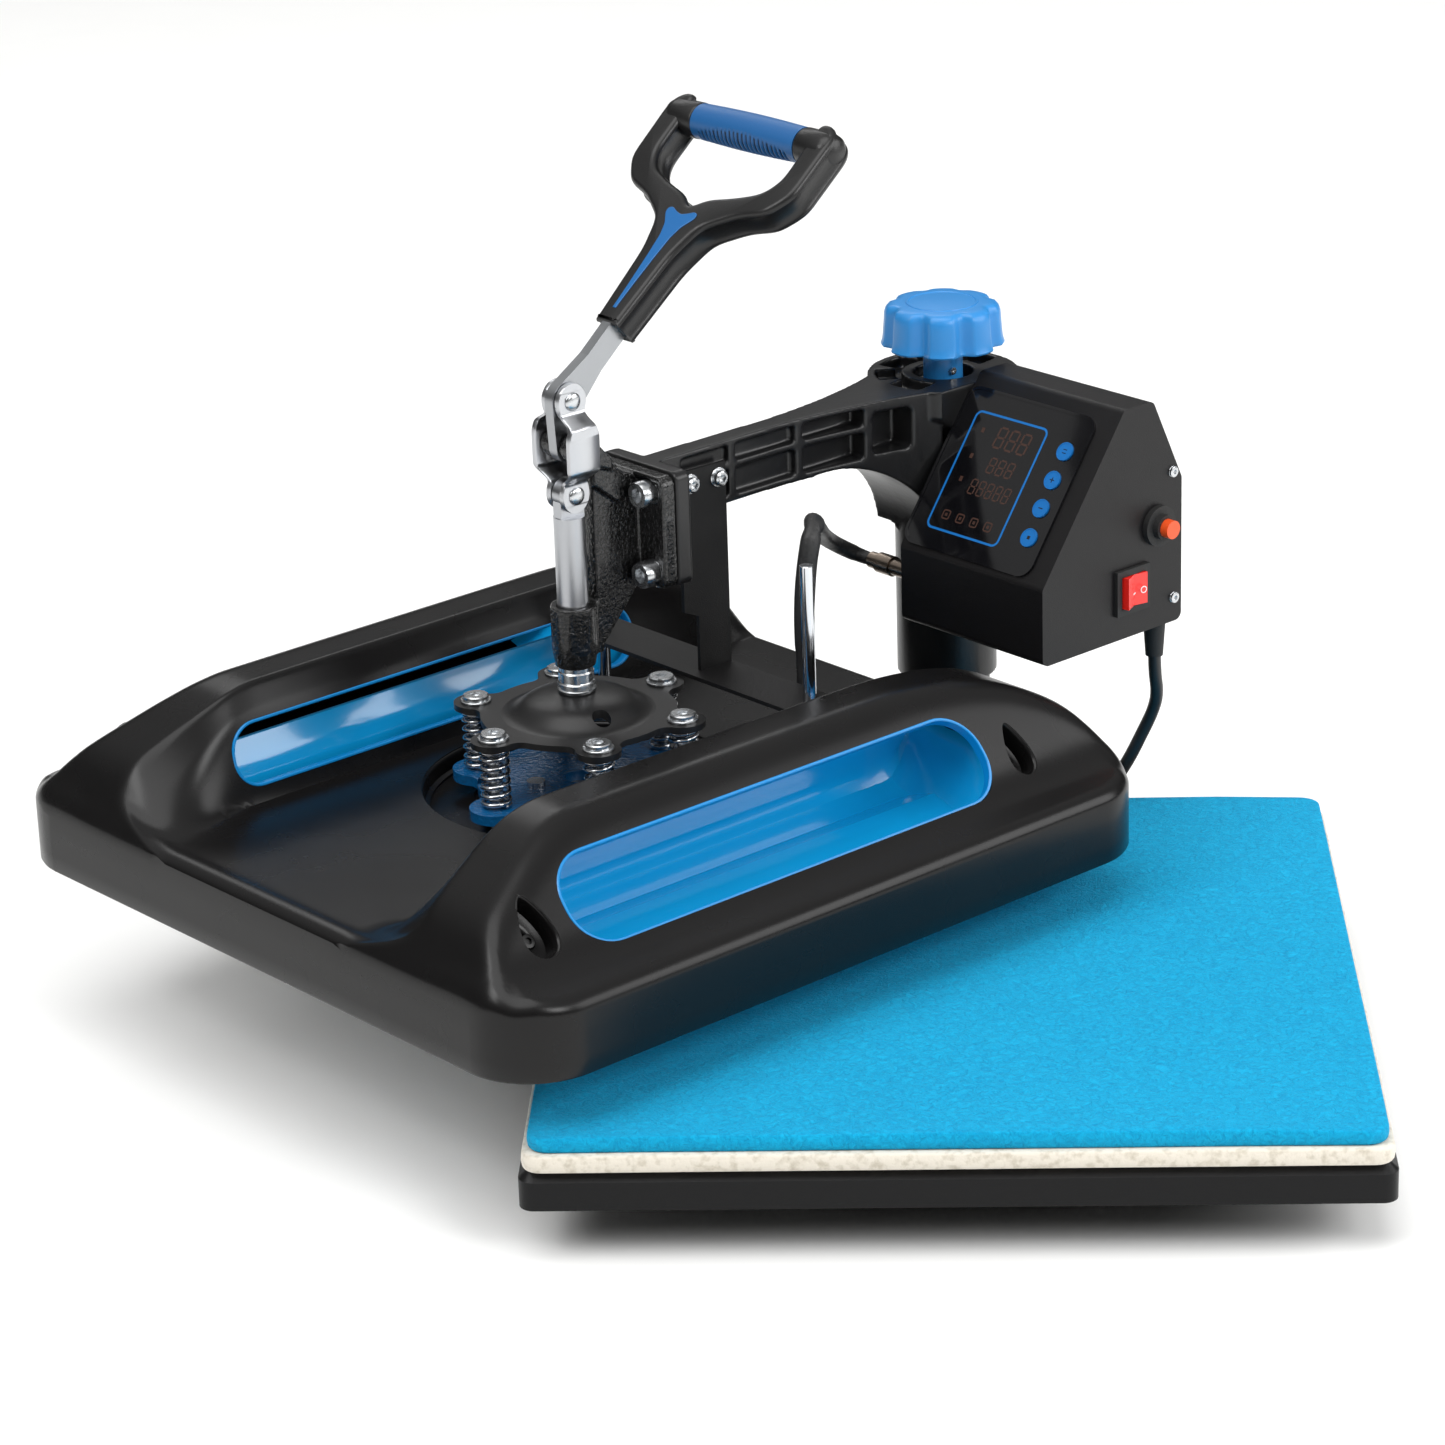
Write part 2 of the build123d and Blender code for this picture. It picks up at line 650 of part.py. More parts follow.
def upper_spider():
    """The stamped upper spider with its domed middle."""
    flat = extrude(Pos(0, 0, spider_top - spider_thick) * lobed(47, 10.8), amount=spider_thick)
    flat -= upright(0, 0, 140, 170, 36)
    rise = Spline((37, spider_top), (26, spider_top + 6), (10, 166), (6.7, 166.5), tangents=[(-1, 0.1), (-1, 0)])
    low_end = (6.7, 166.5 - spider_thick)
    fall = Spline(low_end, (10, 163), (24, spider_top + 2.6), (35, spider_top - spider_thick),
                  tangents=[(1, 0), (1, -0.1)])
    edges = [rise, Line((6.7, 166.5), low_end), fall,
             Line((35, spider_top - spider_thick), (37, spider_top - spider_thick)),
             Line((37, spider_top - spider_thick), (37, spider_top))]
    dome = revolve(Plane.XZ * make_face(edges), axis=Axis.Z)
    body = flat + dome
    for angle in bolt_angles:
        t = math.radians(angle)
        body -= upright(bolt_circle_r * math.cos(t), bolt_circle_r * math.sin(t), 140, 170, 3.6)
    body -= upright(27 * math.cos(math.radians(-16)), 27 * math.sin(math.radians(-16)), 140, 175, 4.5)
    return Pos(0, platen_y, 0) * body


# ------------------------------------------------------------------ platen
def at_bolts(make):
    """One solid at each of the six bolts."""
    solids = []
    for angle in bolt_angles:
        t = math.radians(angle)
        solids.append(Pos(bolt_circle_r * math.cos(t), platen_y + bolt_circle_r * math.sin(t), 0) * make())
    return group(solids)


def platen_bolt():
    """A shoulder bolt: washer, domed head with a socket, and a shank into the lower spider."""
    bolt = upright(0, 0, spider_top, spider_top + 1.5, 8.2)
    bolt += cone_up(0, 0, spider_top + 1.5, spider_top + 6.5, 7.2, 5.6)
    bolt -= extrude(Pos(0, 0, spider_top + 3.5) * RegularPolygon(2.9, 6), amount=8)
    return bolt + upright(0, 0, lower_spider_z, spider_top, 3.5)


def spring():
    """A compression spring round one bolt."""
    low = lower_spider_z + lower_spider_thick
    high = spider_top - spider_thick
    wire = 1.15
    coil = Helix(pitch=(high - low - 2 * wire - 0.2) / 6, height=high - low - 2 * wire - 0.2, radius=6.4)
    start = Plane(origin=coil @ 0, z_dir=coil % 0)
    return Pos(0, 0, low + wire + 0.1) * sweep(start * Circle(wire), path=coil, is_frenet=True)


def lower_spider():
    """The blue lower spider, with clearance for the shoulder bolts and a keyhole slot."""
    body = extrude(Pos(0, 0, lower_spider_z) * lobed(50, 13), amount=lower_spider_thick)
    body -= upright(0, 0, 110, 130, 8)
    for angle in bolt_angles:
        t = math.radians(angle)
        body -= upright(bolt_circle_r * math.cos(t), bolt_circle_r * math.sin(t), 110, 130, 3.5)
    body -= upright(-30, -34, 110, 130, 4.5) + block(-32, -28, -50, -34, 110, 130)
    return Pos(0, platen_y, 0) * body


def keyhole_screws():
    """Three screws that hold the lower spider on the heating plate's hub."""
    screws = []
    for angle in (135, 255, 15):
        t = math.radians(angle)
        x, y = 24 * math.cos(t), platen_y + 24 * math.sin(t)
        top = lower_spider_z + lower_spider_thick
        screws.append(upright(x, y, top, top + 3, 4.5))
    return group(screws)


def heating_plate():
    """The cast heating plate with its central hub."""
    plate = block(-188, 188, platen_y - 190, platen_y + 186, heater_bottom, heater_bottom + heater_thick)
    plate = fillet(plate.edges().filter_by(Axis.Z), 28)
    return plate + upright(0, platen_y, heater_bottom + heater_thick, lower_spider_z, 30)


def insulation():
    """The fibre blanket on the heating plate."""
    low = heater_bottom + heater_thick + 0.2
    sheet = block(-180, 180, platen_y - 182, platen_y + 178, low, low + 8)
    sheet = fillet(sheet.edges().filter_by(Axis.Z), 24)
    for x in (-76, 76):
        sheet -= upright(x, -165, 80, 120, 4)
    return sheet - upright(0, platen_y, 80, 120, 31)


def platen_liner():
    """The blue inner hood, with a low roof under each side hump."""
    top = [(-184, 108), (-129, 117.5), (-96, 109), (96, 109), (129, 117.5), (184, 108)]
    sheet = make_face(Polyline(top + [(x, z - 1.5) for x, z in top][::-1], close=True))
    hood = Pos(0, platen_y + 180, 0) * extrude(Plane.XZ * sheet, amount=364)
    corners = extrude(Pos(0, platen_y - 2, 90) * RectangleRounded(368, 364, 28), amount=40)
    hood &= corners
    hood -= upright(0, platen_y, 80, 140, 62)
    for x in (-76, 76):
        hood -= upright(x, -165, 80, 140, 4)
    for x in (-156, 156):
        for y in (-160, 139):
            hood -= upright(x, platen_y + y, 80, 140, 2.5)
    return hood


def hump_profile(shrink):
    """The hump's side view: a long level ridge between two soft ends, moved inwards by shrink."""
    low = 100.0
    front = [(-198.5, cover_shoulder - 6), (-192, 147), (-178, 156), (-160, 164.5), (-141, 170.8), (-118, ridge_z)]
    rear = [(92, ridge_z), (120, 170.5), (146, 162.5), (166, 153.5), (183, 144), (194, cover_shoulder - 6)]
    front = [(y + shrink, z - shrink) for y, z in front]
    rear = [(y - shrink, z - shrink) for y, z in rear]
    curve_front = Spline(*front)
    curve_rear = Spline(*rear)
    edges = [curve_front, Line(front[-1], rear[0]), curve_rear,
             Line(rear[-1], (rear[-1][0], low)), Line((rear[-1][0], low), (front[0][0], low)),
             Line((front[0][0], low), front[0])]
    return make_face(edges)


def hump_section(shrink):
    """The hump's cross-section: steep inner wall, level ridge, and a slope down to the shoulder."""
    points = [(valley_half - 1, 100), (valley_half + 0.6, valley_floor), (97.5, 160.5), (ridge_in, ridge_z),
              (ridge_out, ridge_z), (150, 153.5), (172, 127.5), (184, cover_shoulder), (184, 100)]
    face = make_face(Polyline(points, close=True))
    if shrink > 0:
        face = offset(face, -shrink)
    return face


def cover_solid(shrink):
    """The cover's outer body, or the space inside it when shrink is the wall."""
    half_x = cover_size_x / 2 - shrink
    depth = cover_size_y - 2 * shrink
    outline = RectangleRounded(2 * half_x, depth, cover_corner - shrink)
    high = cover_shoulder if shrink == 0 else valley_floor - 2.5
    low = cover_bottom if shrink == 0 else cover_bottom - 5
    body = extrude(Pos(0, -cover_ahead, low) * outline, amount=high - low)
    if shrink == 0:
        body = fillet(body.faces().sort_by(Axis.Z)[-1].edges(), 6.5)
    side = Pos(-200, 0, 0) * extrude(Plane.YZ * hump_profile(shrink), amount=400)
    section = Pos(0, 200, 0) * extrude(Plane.XZ * hump_section(shrink), amount=400)
    hump = side & section
    return body + hump + mirror(hump, about=Plane.YZ)


def cover_windows():
    """The cutters of the outer and inner windows of the right hump."""
    slope = math.degrees(math.atan2(161.5 - 127.5, 171 - 142))
    outer = extrude(RectangleRounded(46, 240, 20), amount=14, both=True)
    outer = Location((156.5, -11, 144.5), (0, slope, 0)) * outer
    inner = extrude(RectangleRounded(38, 230, 16), amount=9, both=True)
    inner = Location((93, -10, 140.5), (0, 90, 0)) * inner
    return outer + inner


def top_cover():
    """The moulded cover: shell, valley, two side humps with windows, and the round opening."""
    shell = cover_solid(0) - cover_solid(cover_wall)
    valley = block(-valley_half, valley_half, -184, 178, valley_floor, 140)
    valley = fillet(valley.edges().filter_by(Axis.Z), 14)
    shell -= valley
    shell -= upright(0, 0, 100, 140, valley_hole_r)
    windows = cover_windows()
    shell -= windows
    shell -= mirror(windows, about=Plane.YZ)
    for x in (-156, 156):
        for y in (-160, 139):
            shell -= upright(x, y, 124, 190, 6.5)
    for x in (-76, 76):
        shell -= upright(x, -165 - platen_y, 100, 130, 4.2)
    shell -= upright(52, -147 - platen_y, 100, 130, 4.6)
    return Pos(0, platen_y, 0) * shell


def cover_screws():
    """Four screws, one at the bottom of each teardrop recess."""
    screws = []
    for x in (-156, 156):
        for y in (-160, 139):
            screws.append(upright(x, platen_y + y, 121, 124, 4) + upright(x, platen_y + y, 107, 121, 2))
    return group(screws)


def guide_rods():
    """Two chromed rods that stand on the platen and slide through the crossbar."""
    rods = []
    for x in (-76, 76):
        rod = upright(x, -165, heater_bottom + heater_thick, 227.1, 3.3)
        rods.append(chamfer(rod.faces().sort_by(Axis.Z)[-1].edges(), 0.4))
    return group(rods)


# ------------------------------------------------------------------ mains lead
def gland_at_rest():
    """Where the gland's axis stands in the rest pose."""
    turn = math.radians(-swing_out)
    x, y = gland_place
    return x * math.cos(turn) - y * math.sin(turn), x * math.sin(turn) + y * math.cos(turn)


gland_x, gland_y = gland_at_rest()
split = Vector(97, -45, 89.5)
inward = Vector(-0.907, 0.42, 0) * 0.42 + Vector(0, 0, -0.907)
before_split = tuple(split - inward * 16)
behind_split = tuple(split + inward * 14)
drop_route = [(gland_x, gland_y, 153), (gland_x, gland_y, 131), (105, -54.5, 116.5), before_split, tuple(split)]
floor_route = [tuple(split + inward * split_gap), behind_split, (85, -34.5, 62), (79, -25, 46), (77, -15, 31),
               (78, -4, 17.5), (81.5, 8.5, 7.8), (87.5, 21, 3.8), (97, 31, 3.25)]
tail_route = [(139, 36.7, 15.4), (152, 33.8, 12.6), (164, 26, 8.4), (172.5, 14.5, 5.4), (176.5, 0, 5.6),
              (177, -15, 8.6)]


def cord_coil():
    """The outer shape of the coiled length."""
    x, y = coil_centre
    return upright(x, y, 0, coil_high, coil_outer_r) - upright(x, y, -1, coil_high + 1, coil_inner_r)


def mains_plug():
    """The moulded plug on the lead's end, lying flat, with two blades and a round pin."""
    x, y = tail_route[-1][0], tail_route[-1][1]
    relief = Pos(x, y - 11, 9) * Rot(90, 0, 0) * Cone(4.4, 6.0, 22)
    body = fillet(block(x - 12, x + 12, y - 54, y - 22, 0, 18).edges().filter_by(Axis.Y), 4)
    plug = relief + body
    for side in (-1, 1):
        plug += block(x + side * 6.3 - 0.8, x + side * 6.3 + 0.8, y - 70, y - 54, 3, 9.3)
    plug += along_y(x, y - 72, y - 54, 13.5, 2.3)
    return plug


# ------------------------------------------------------------------ all nodes
write("base_frame", base_frame())
write("base_plate", base_plate())
write("felt_pad", pad_sheet(376, 384, 8, plate_bottom + plate_thick, felt_thick))
write("silicone_pad", pad_sheet(371, 378, 9, plate_bottom + plate_thick + felt_thick, pad_thick))
write("rubber_feet", rubber_feet())
write("post", post())
write("post_bolts", post_bolts())
write("thrust_washer", swung(thrust_washer()))
write("arm_casting", swung(arm_casting()))
write("sleeve_bush", swung(sleeve_bush()))
write("toggle_casting", swung(toggle_casting()))
write("casting_bolts", swung(casting_bolts()))
write("pivot_pin", swung(pivot_pin()))
write("guide_bracket", swung(guide_bracket()))
write("bracket_screws", swung(bracket_screws()))
write("guide_crossbar", swung(guide_crossbar()))
write("control_box", swung(control_box()))
write("side_plate", swung(side_plate()))
write("box_screws", swung(box_screws()))
write("display_panel", swung(display_panel()))
for number, (across_x, along) in enumerate(zip(button_across, button_along), start=1):
    write(f"button_{number}", swung(push_button(across_x, along)))
write("circuit_board", swung(circuit_board()))
write("relay", swung(relay()))
write("rocker_bezel", swung(rocker_bezel()))
write("rocker_key", swung(rocker_key()))
write("breaker_body", swung(breaker_body()))
write("breaker_button", swung(breaker_button()))
write("heater_socket", swung(heater_socket()))
write("heater_cable", swung(heater_cable()))
write("cord_gland", swung(cord_gland()))
write("knob", swung(knob()))
write("pressure_screw", swung(pressure_screw()))
write("lever_bar", swung(lever_bar()))
write("handle_frame", swung(handle_frame()))
write("handle_inlay", swung(handle_inlay()))
write("grip_sleeve", swung(grip_sleeve()))
write("toggle_links", swung(toggle_links()))
write("link_rivets", swung(link_rivets()))
write("plunger_shaft", swung(plunger_shaft()))
write("plunger_nut", swung(plunger_nut()))
write("upper_spider", swung(upper_spider()))
write("platen_bolts", swung(at_bolts(platen_bolt)))
write("springs", swung(at_bolts(spring)))
write("lower_spider", swung(lower_spider()))
write("keyhole_screws", swung(keyhole_screws()))
write("heating_plate", swung(heating_plate()))
write("insulation", swung(insulation()))
write("platen_liner", swung(platen_liner()))
write("top_cover", swung(top_cover()))
write("cover_screws", swung(cover_screws()))
write("guide_rods", swung(guide_rods()))
write("cord_drop", tube_along(drop_route, cord_r))
write("cord_floor", tube_along(floor_route, cord_r))
write("cord_coil", cord_coil())
write("cord_tail", tube_along(tail_route, cord_r))
write("mains_plug", mains_plug())
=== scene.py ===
from math import atan2, cos, exp, hypot, pi, radians, sin, sqrt

import bmesh
import bpy
import numpy as np
from mathutils import Matrix, Vector


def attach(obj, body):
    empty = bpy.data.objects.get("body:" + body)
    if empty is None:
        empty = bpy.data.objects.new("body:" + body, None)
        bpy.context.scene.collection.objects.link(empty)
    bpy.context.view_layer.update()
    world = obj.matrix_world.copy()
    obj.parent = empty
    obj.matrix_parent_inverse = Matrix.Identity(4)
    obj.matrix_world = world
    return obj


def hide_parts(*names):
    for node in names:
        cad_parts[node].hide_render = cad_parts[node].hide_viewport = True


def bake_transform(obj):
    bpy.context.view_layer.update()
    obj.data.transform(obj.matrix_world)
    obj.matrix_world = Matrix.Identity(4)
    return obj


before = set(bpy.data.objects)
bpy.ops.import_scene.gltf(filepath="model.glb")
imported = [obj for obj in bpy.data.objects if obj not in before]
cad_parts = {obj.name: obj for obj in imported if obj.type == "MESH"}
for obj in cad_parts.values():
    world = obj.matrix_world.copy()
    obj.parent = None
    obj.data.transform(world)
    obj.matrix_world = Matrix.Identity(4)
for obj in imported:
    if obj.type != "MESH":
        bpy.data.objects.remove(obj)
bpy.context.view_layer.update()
MM = 0.001
REST = Matrix.Rotation(radians(-46), 4, "Z")
ASIDE = Matrix.Rotation(radians(90), 4, "Y")
PLATEN_Y = -245.0
PLUNGER_Y = -245.5
LINK_TOP, LINK_LOW, GRIP_OUT = 311.1, 265.1, 160.5


def add_object(name, data):
    """A new object in the scene."""
    obj = bpy.data.objects.new(name, data)
    bpy.context.scene.collection.objects.link(obj)
    return obj


# -------- camera
def add_camera():
    """The photograph's viewpoint: place, aim and lens."""
    pitch, yaw, roll = 0.370195, 0.050722, -0.033102
    tip = Matrix.Rotation(pitch + pi / 2, 3, "X")
    rows = Matrix.Rotation(roll, 3, "Z") @ tip @ Matrix.Rotation(-yaw, 3, "Z")
    axes = Matrix((rows[0], -rows[1], -rows[2])).transposed()
    data = bpy.data.cameras.new("camera")
    data.sensor_width = 36
    data.lens = 36 * 4554.9 / 1445
    data.clip_end = 90
    camera = add_object("camera", data)
    camera.matrix_world = Matrix.Translation((-0.0051, -2.1926, 0.9345)) @ axes.to_4x4()
    bpy.context.scene.camera = camera


add_camera()


# -------- materials
def feed(node, **inputs):
    """Sets a node's inputs, named with _ for a space, to values or to other nodes' outputs."""
    for name, value in inputs.items():
        socket = node.inputs[name.replace("_", " ")]
        if isinstance(value, bpy.types.NodeSocket):
            node.id_data.links.new(value, socket)
        elif value is not None:
            socket.default_value = value
    return node


def add_node(tree, kind, **inputs):
    """A new shader node with its inputs."""
    return feed(tree.nodes.new("ShaderNode" + kind), **inputs)


def mixed(tree, dark, light, factor):
    """Two colours mixed by a factor."""
    tone = tree.nodes.new("ShaderNodeMix")
    tone.data_type = "RGBA"
    return feed(tone, A=(*dark, 1), B=(*light, 1), Factor=factor).outputs["Result"]


def new_material(name):
    """A material, its node tree, its shader and the object's own coordinates."""
    mat = bpy.data.materials.new(name)
    mat.use_nodes = True
    tree = mat.node_tree
    return mat, tree, tree.nodes["Principled BSDF"], add_node(tree, "TexCoord").outputs["Object"]


def material(name, color, rough, metallic=0.0, vary=0.12, vary_size=18.0, grain=0.0, grain_size=900.0,
             rough_vary=0.06, coat=0.0, lumps=0.0, lump_size=300.0, specular=0.5, anisotropic=0.0, glow=0.0):
    """A procedural surface: two tones in soft patches, uneven roughness, coarse and fine relief, and a painted
    glow where glow is set.
    """
    mat, tree, shader, place = new_material(name)
    patches = add_node(tree, "TexNoise", Vector=place, Scale=vary_size, Detail=4).outputs["Fac"]
    dark = [c * (1 - vary) for c in color]
    light = [min(1.0, c * (1 + vary)) for c in color]
    spread = add_node(tree, "MapRange", Value=patches, To_Min=max(0.02, rough - rough_vary),
                      To_Max=min(1.0, rough + rough_vary))
    normal = None
    for strength, size, detail, distortion, distance in ((lumps, lump_size, 2, 0.6, 0.0012),
                                                         (grain, grain_size, 3, 0.0, 0.0004)):
        if strength > 0:
            noise = add_node(tree, "TexNoise", Vector=place, Scale=size, Detail=detail, Distortion=distortion)
            normal = add_node(tree, "Bump", Height=noise.outputs["Fac"], Strength=strength, Distance=distance,
                              Normal=normal).outputs["Normal"]
    feed(shader, Base_Color=mixed(tree, dark, light, patches), Roughness=spread.outputs["Result"],
         Normal=normal, Metallic=metallic, Specular_IOR_Level=specular, Coat_Weight=coat, Coat_Roughness=0.08,
         Anisotropic=anisotropic, Emission_Color=(*color, 1), Emission_Strength=glow)
    return mat


M = {
    "cover": material("cover_plastic", (0.0052, 0.0049, 0.005), 0.27, grain=0.05, grain_size=1500, vary=0.1,
                      specular=0.25),
    "casting": material("arm_enamel", (0.009, 0.009, 0.0095), 0.3, grain=0.12, grain_size=700, lumps=0.06,
                        lump_size=160, specular=0.42),
    "wrinkle": material("wrinkle_enamel", (0.004, 0.004, 0.004), 0.2, lumps=0.9, lump_size=520, coat=0.45,
                        specular=0.4),
    "powder": material("powder_coat", (0.008, 0.0078, 0.008), 0.5, grain=0.35, grain_size=1700,
                       specular=0.26),
    "box": material("box_powder_coat", (0.0065, 0.006, 0.0065), 0.4, grain=0.25, grain_size=1900,
                    specular=0.27),
    "plate": material("lower_plate_enamel", (0.0035, 0.0035, 0.004), 0.4, grain=0.2, grain_size=1100,
                      specular=0.2),
    "zinc": material("zinc_plate", (0.56, 0.575, 0.59), 0.26, metallic=1.0, vary=0.06, rough_vary=0.07,
                     grain=0.03, grain_size=1200),
    "plunger": material("ground_steel", (0.42, 0.43, 0.45), 0.3, metallic=1.0, vary=0.08, vary_size=40,
                        anisotropic=0.5),
    "chrome": material("bright_chrome", (0.62, 0.64, 0.67), 0.12, metallic=1.0, vary=0.03, rough_vary=0.03),
    "socket": material("socket_bronze", (0.33, 0.27, 0.22), 0.3, metallic=1.0, vary=0.2, vary_size=120),
    # The azure moulding glows a little: painted light that keeps the trays and liner bright though they sit in
    # shade under the cover.
    "azure": material("azure_moulding_painted_glow", (0.004, 0.29, 0.62), 0.16, vary=0.05, coat=0.8, glow=0.14),
    "rim": material("azure_rim", (0.002, 0.21, 0.54), 0.25, vary=0.05),
    "spider_black": material("spider_enamel", (0.009, 0.0088, 0.009), 0.36, grain=0.15, grain_size=1500,
                             specular=0.35),
    "spider": material("hammered_blue", (0.003, 0.085, 0.23), 0.22, lumps=0.5, lump_size=420, coat=0.4),
    "knob": material("knob_blue", (0.025, 0.24, 0.6), 0.34, vary=0.07, grain=0.05),
    "grip": material("grip_blue", (0.009, 0.1, 0.29), 0.42, vary=0.1, grain=0.15),
    # A darker copy of the grip's blue for the deepest groove faces: painted shade.
    "grip_shade": material("grip_groove_painted_shade", (0.002, 0.022, 0.07), 0.5, vary=0.1, grain=0.15),
    "inlay": material("inlay_blue", (0.005, 0.12, 0.36), 0.35, vary=0.06),
    "handle": material("handle_plastic", (0.009, 0.0088, 0.009), 0.33, grain=0.18, grain_size=1300,
                       specular=0.42),
    "rubber": material("foot_rubber", (0.012, 0.012, 0.012), 0.7, grain=0.3),
    "cord": material("cord_sheath", (0.012, 0.012, 0.012), 0.45, grain=0.08),
    "sleeve": material("cable_sleeve", (0.013, 0.013, 0.0135), 0.5, lumps=0.5, lump_size=260, grain=0.3),
    "glass": material("panel_gloss", (0.004, 0.004, 0.005), 0.09, vary=0.1, coat=0.6),
    "red": material("rocker_red", (0.86, 0.016, 0.01), 0.25, vary=0.08, coat=0.4),
    "orange": material("reset_orange", (0.85, 0.09, 0.015), 0.35, vary=0.08),
    "button": material("button_blue", (0.004, 0.14, 0.44), 0.3, vary=0.06),
    "line": material("line_blue", (0.004, 0.15, 0.48), 0.35, vary=0.04),
    "digit": material("unlit_segment", (0.055, 0.027, 0.02), 0.25, vary=0.15),
    "white": material("white_mark", (0.8, 0.8, 0.8), 0.4, vary=0.04),
    "board": material("board_green", (0.01, 0.12, 0.04), 0.4),
    "alloy": material("cast_alloy", (0.5, 0.5, 0.5), 0.5, metallic=1.0, lumps=0.1),
    "fibre": material("fibre_blanket", (0.75, 0.74, 0.7), 0.95, lumps=0.5),
    "blackened": material("blackened_steel", (0.05, 0.05, 0.05), 0.35, metallic=1.0),
    "link": material("link_zinc", (0.5, 0.51, 0.53), 0.3, metallic=1.0, vary=0.07, rough_vary=0.06,
                     grain=0.05, grain_size=800),
    "lever": material("lever_steel", (0.36, 0.37, 0.385), 0.34, metallic=1.0, vary=0.1, vary_size=50,
                      grain=0.05, anisotropic=0.3),
    "spring": material("spring_wire", (0.5, 0.51, 0.53), 0.18, metallic=1.0, vary=0.1),
    "bush": material("dark_bush", (0.03, 0.028, 0.026), 0.4, metallic=0.6),
}


def pad_material():
    """Azure foam rubber: a fibrous mottle in colour and relief."""
    mat, tree, shader, place = new_material("azure_foam")
    fibre = add_node(tree, "TexNoise", Vector=place, Scale=300, Detail=6, Roughness=0.7, Distortion=1.4)
    clouds = add_node(tree, "TexNoise", Vector=place, Scale=14, Detail=3)
    strands = add_node(tree, "MapRange", Value=fibre.outputs["Fac"], From_Min=0.3, From_Max=0.68)
    shade = tree.nodes.new("ShaderNodeMath")
    shade.operation = "MULTIPLY_ADD"
    shade.inputs[1].default_value = 0.2
    tree.links.new(clouds.outputs["Fac"], shade.inputs[0])
    tree.links.new(strands.outputs["Result"], shade.inputs[2])
    bump = add_node(tree, "Bump", Height=fibre.outputs["Fac"], Strength=0.9, Distance=0.0017)
    feed(shader, Base_Color=mixed(tree, (0.0, 0.25, 0.5), (0.004, 0.42, 0.72), shade.outputs["Value"]),
         Normal=bump.outputs["Normal"], Roughness=0.75, Sheen_Weight=0.04, Specular_IOR_Level=0.12)
    return mat


def felt_material():
    """Cream wool felt with darker flecks."""
    mat, tree, shader, place = new_material("wool_felt")
    fleck = add_node(tree, "TexNoise", Vector=place, Scale=260, Detail=8).outputs["Fac"]
    ramp = add_node(tree, "ValToRGB", Fac=fleck)
    for stop, position, color in zip(ramp.color_ramp.elements, (0.28, 0.52),
                                     ((0.50, 0.45, 0.36), (0.70, 0.65, 0.56))):
        stop.position = position
        stop.color = (*color, 1)
    bump = add_node(tree, "Bump", Height=fleck, Strength=0.7, Distance=0.001)
    feed(shader, Base_Color=ramp.outputs["Color"], Normal=bump.outputs["Normal"], Roughness=0.95,
         Sheen_Weight=0.4)
    return mat


M["foam"] = pad_material()
M["felt"] = felt_material()


# -------- mesh helpers
def to_row(point, arm=True):
    """A point in millimetres, in the closed arm's frame or the row's, as metres in the row's frame."""
    place = Vector(point) * MM
    return REST @ place if arm else place


def piece(name, verts, faces, look, arm=True, smooth=40.0):
    """A mesh piece from points in millimetres."""
    mesh = bpy.data.meshes.new(name)
    mesh.from_pydata([to_row(v, arm) for v in verts], [], faces)
    mesh.validate()
    made = bmesh.new()
    made.from_mesh(mesh)
    bmesh.ops.recalc_face_normals(made, faces=made.faces)
    made.to_mesh(mesh)
    made.free()
    obj = add_object(name, mesh)
    mesh.materials.append(look)
    finish_shading(obj, smooth)
    return obj


def finish_shading(obj, degrees):
    """Smooth shading with sharp edges where faces meet at more than the angle."""
    mesh = obj.data
    for face in mesh.polygons:
        face.use_smooth = True
    made = bmesh.new()
    made.from_mesh(mesh)
    limit = radians(degrees)
    for edge in made.edges:
        if len(edge.link_faces) == 2:
            edge.smooth = edge.calc_face_angle(0) < limit
    made.to_mesh(mesh)
    made.free()


def dress(obj, slot, body, *nodes):
    """Gives a piece its body and names the CAD nodes it stands for, which it hides; the slot argument is not
    used.
    """
    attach(obj, body)
    if nodes:
        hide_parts(*nodes)


def apply_modifier(obj, kind, **settings):
    """Adds a modifier, gives it its settings, and applies it."""
    mod = obj.modifiers.new(kind.lower(), kind)
    for key, value in settings.items():
        setattr(mod, key, value)
    bpy.context.view_layer.update()
    graph = bpy.context.evaluated_depsgraph_get()
    mesh = bpy.data.meshes.new_from_object(obj.evaluated_get(graph), preserve_all_data_layers=True,
                                           depsgraph=graph)
    obj.modifiers.remove(mod)
    obj.data = mesh


def cut(obj, cutters):
    """Takes the cutters away from the piece, and deletes them."""
    for cutter in cutters:
        apply_modifier(obj, "BOOLEAN", operation="DIFFERENCE", solver="EXACT", object=cutter)
        bpy.data.objects.remove(cutter)


def loft(rings, closed=True, cap=True):
    """Faces over a list of rings of points, each of the same length."""
    verts = [p for ring in rings for p in ring]
    count = len(rings[0])
    faces = []
    for a in range(len(rings) - 1):
        for b in range(count if closed else count - 1):
            c = (b + 1) % count
            faces.append((a * count + b, a * count + c, (a + 1) * count + c, (a + 1) * count + b))
    if cap:
        faces.append(tuple(range(count))[::-1])
        faces.append(tuple(range((len(rings) - 1) * count, len(rings) * count)))
    return verts, faces


def rounded_rect(width, depth, corner, steps=8):
    """Points round a rectangle with rounded corners, anticlockwise."""
    points = []
    for cx, cy, start in ((1, 1, 0), (-1, 1, 90), (-1, -1, 180), (1, -1, 270)):
        for k in range(steps + 1):
            t = radians(start + 90 * k / steps)
            points.append((cx * (width / 2 - corner) + corner * cos(t),
                           cy * (depth / 2 - corner) + corner * sin(t)))
    return points


